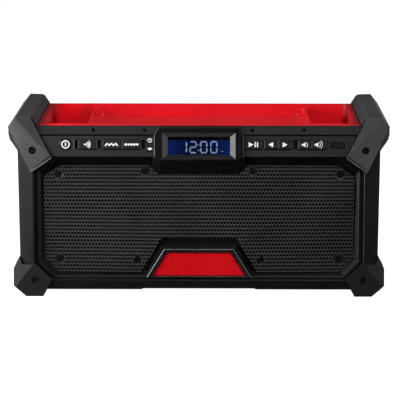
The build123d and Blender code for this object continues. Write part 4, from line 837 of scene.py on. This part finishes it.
dock_nylon = moulded_plastic("dock_nylon", (0.009, 0.009, 0.0095), (0.014, 0.014, 0.0145),
                             rough=0.5, grain=1300.0, relief=0.00008, wear_and_sheen=0.5)
dress(dock_nylon, "battery_dock")
nickel_brass = bare_metal("nickel_brass", (0.62, 0.55, 0.40), (0.74, 0.68, 0.55), shiny=0.18,
                          dull=0.36, blotches=380.0)
dress(nickel_brass, "battery_contacts")

# ---- Socket compartment ----------------------------------------------------------------------
# A hinged door, moulded with the rear half's grain, covers the audio and USB sockets and turns on
# a drawn steel pin. The mains adapter's inlet is open.

eased("aux_door", rear_skin, body="aux_door", radius=0.3)
drawn_steel = bare_metal("drawn_steel", (0.42, 0.42, 0.43), (0.58, 0.58, 0.59), shiny=0.2,
                         dull=0.4, blotches=500.0)
dress(drawn_steel, "door_hinge_pin", "usb_port")
socket_plastic = moulded_plastic("socket_plastic", (0.006, 0.006, 0.006), (0.010, 0.010, 0.010),
                                 rough=0.38, grain=2400.0, relief=0.00002, wear_and_sheen=0.3, edge=0.3)
dress(socket_plastic, "aux_jack", "dc_inlet")

# ---- Floor, light and camera -----------------------------------------------------------------
# A plain pale floor, and square soft boxes: the key light high in front, lower ones at both sides
# that model the bars and feet, weak ones above and behind, and one off each rear corner.

floor_mesh = bmesh.new()
bmesh.ops.create_grid(floor_mesh, x_segments=1, y_segments=1, size=12.0)
floor_sheet = bpy.data.meshes.new("floor")
floor_mesh.to_mesh(floor_sheet)
floor_mesh.free()
floor = bpy.data.objects.new("floor", floor_sheet)
bpy.context.collection.objects.link(floor)
pale_floor = new_finish("pale_floor", {
    "Base Color": (0.3, 0.3, 0.3), "Roughness": 0.9, "Emission Color": (1.0, 1.0, 1.0),
    "Emission Strength": 0.99})[0]
floor_sheet.materials.append(pale_floor)
floor.visible_glossy = floor.visible_diffuse = False

aim = Vector((0.0013, -0.097, 0.1084))


def soft_light(name, place, size, power):
    """A square softbox that faces the object."""
    lamp = bpy.data.lights.new(name, "AREA")
    lamp.shape = "SQUARE"
    lamp.size = size
    lamp.energy = power
    box = bpy.data.objects.new(name, lamp)
    bpy.context.collection.objects.link(box)
    box.location = place
    box.rotation_euler = (aim - Vector(place)).to_track_quat("-Z", "Y").to_euler()


soft_light("key_light", (0.20, -1.55, 1.75), size=1.0, power=31.5)
soft_light("left_light", (-0.76, -0.33, 0.2), size=0.42, power=10.0)
soft_light("left_fill", (-0.84, -0.8, 0.2), size=0.5, power=5.4)
soft_light("right_light", (0.96, -0.35, 0.2), size=0.5, power=3.8)
soft_light("right_fill", (1.75, -1.56, 0.43), size=0.9, power=6.8)
soft_light("upper_right_light", (0.93, -1.43, 1.73), size=1.0, power=1.5)
soft_light("back_light", (0.0, 1.38, 1.87), size=1.0, power=3.5)
soft_light("rear_left_light", (-1.86, 1.21, 0.43), size=1.0, power=27.0)
soft_light("rear_right_light", (1.87, 1.21, 0.43), size=1.0, power=27.0)

# the sky is white where the camera sees it, and lights the object hardly at all
studio = bpy.data.worlds.new("studio")
studio.use_nodes = True
bpy.context.scene.world = studio
tree = studio.node_tree
sky = tree.nodes["Background"]
sky.inputs["Color"].default_value = (1, 1, 1, 1)
seen = tree.nodes.new("ShaderNodeLightPath")
strength = ranged(tree, seen.outputs["Is Camera Ray"], target=(0.01, 1.0))
tree.links.new(strength, sky.inputs["Strength"])

view = bpy.data.cameras.new("view")
view.lens = 195.95
view.sensor_width = 36.0
view.clip_start = 0.05
camera = bpy.data.objects.new("view", view)
bpy.context.collection.objects.link(camera)
elevation, swing, away = math.radians(10.4), math.radians(0.5), 2.4
camera.location = aim + away * Vector((math.sin(swing) * math.cos(elevation),
                                       -math.cos(swing) * math.cos(elevation),
                                       math.sin(elevation)))
camera.rotation_euler = (aim - camera.location).to_track_quat("-Z", "Y").to_euler()
bpy.context.scene.camera = camera
bpy.context.scene.view_settings.view_transform = "Standard"
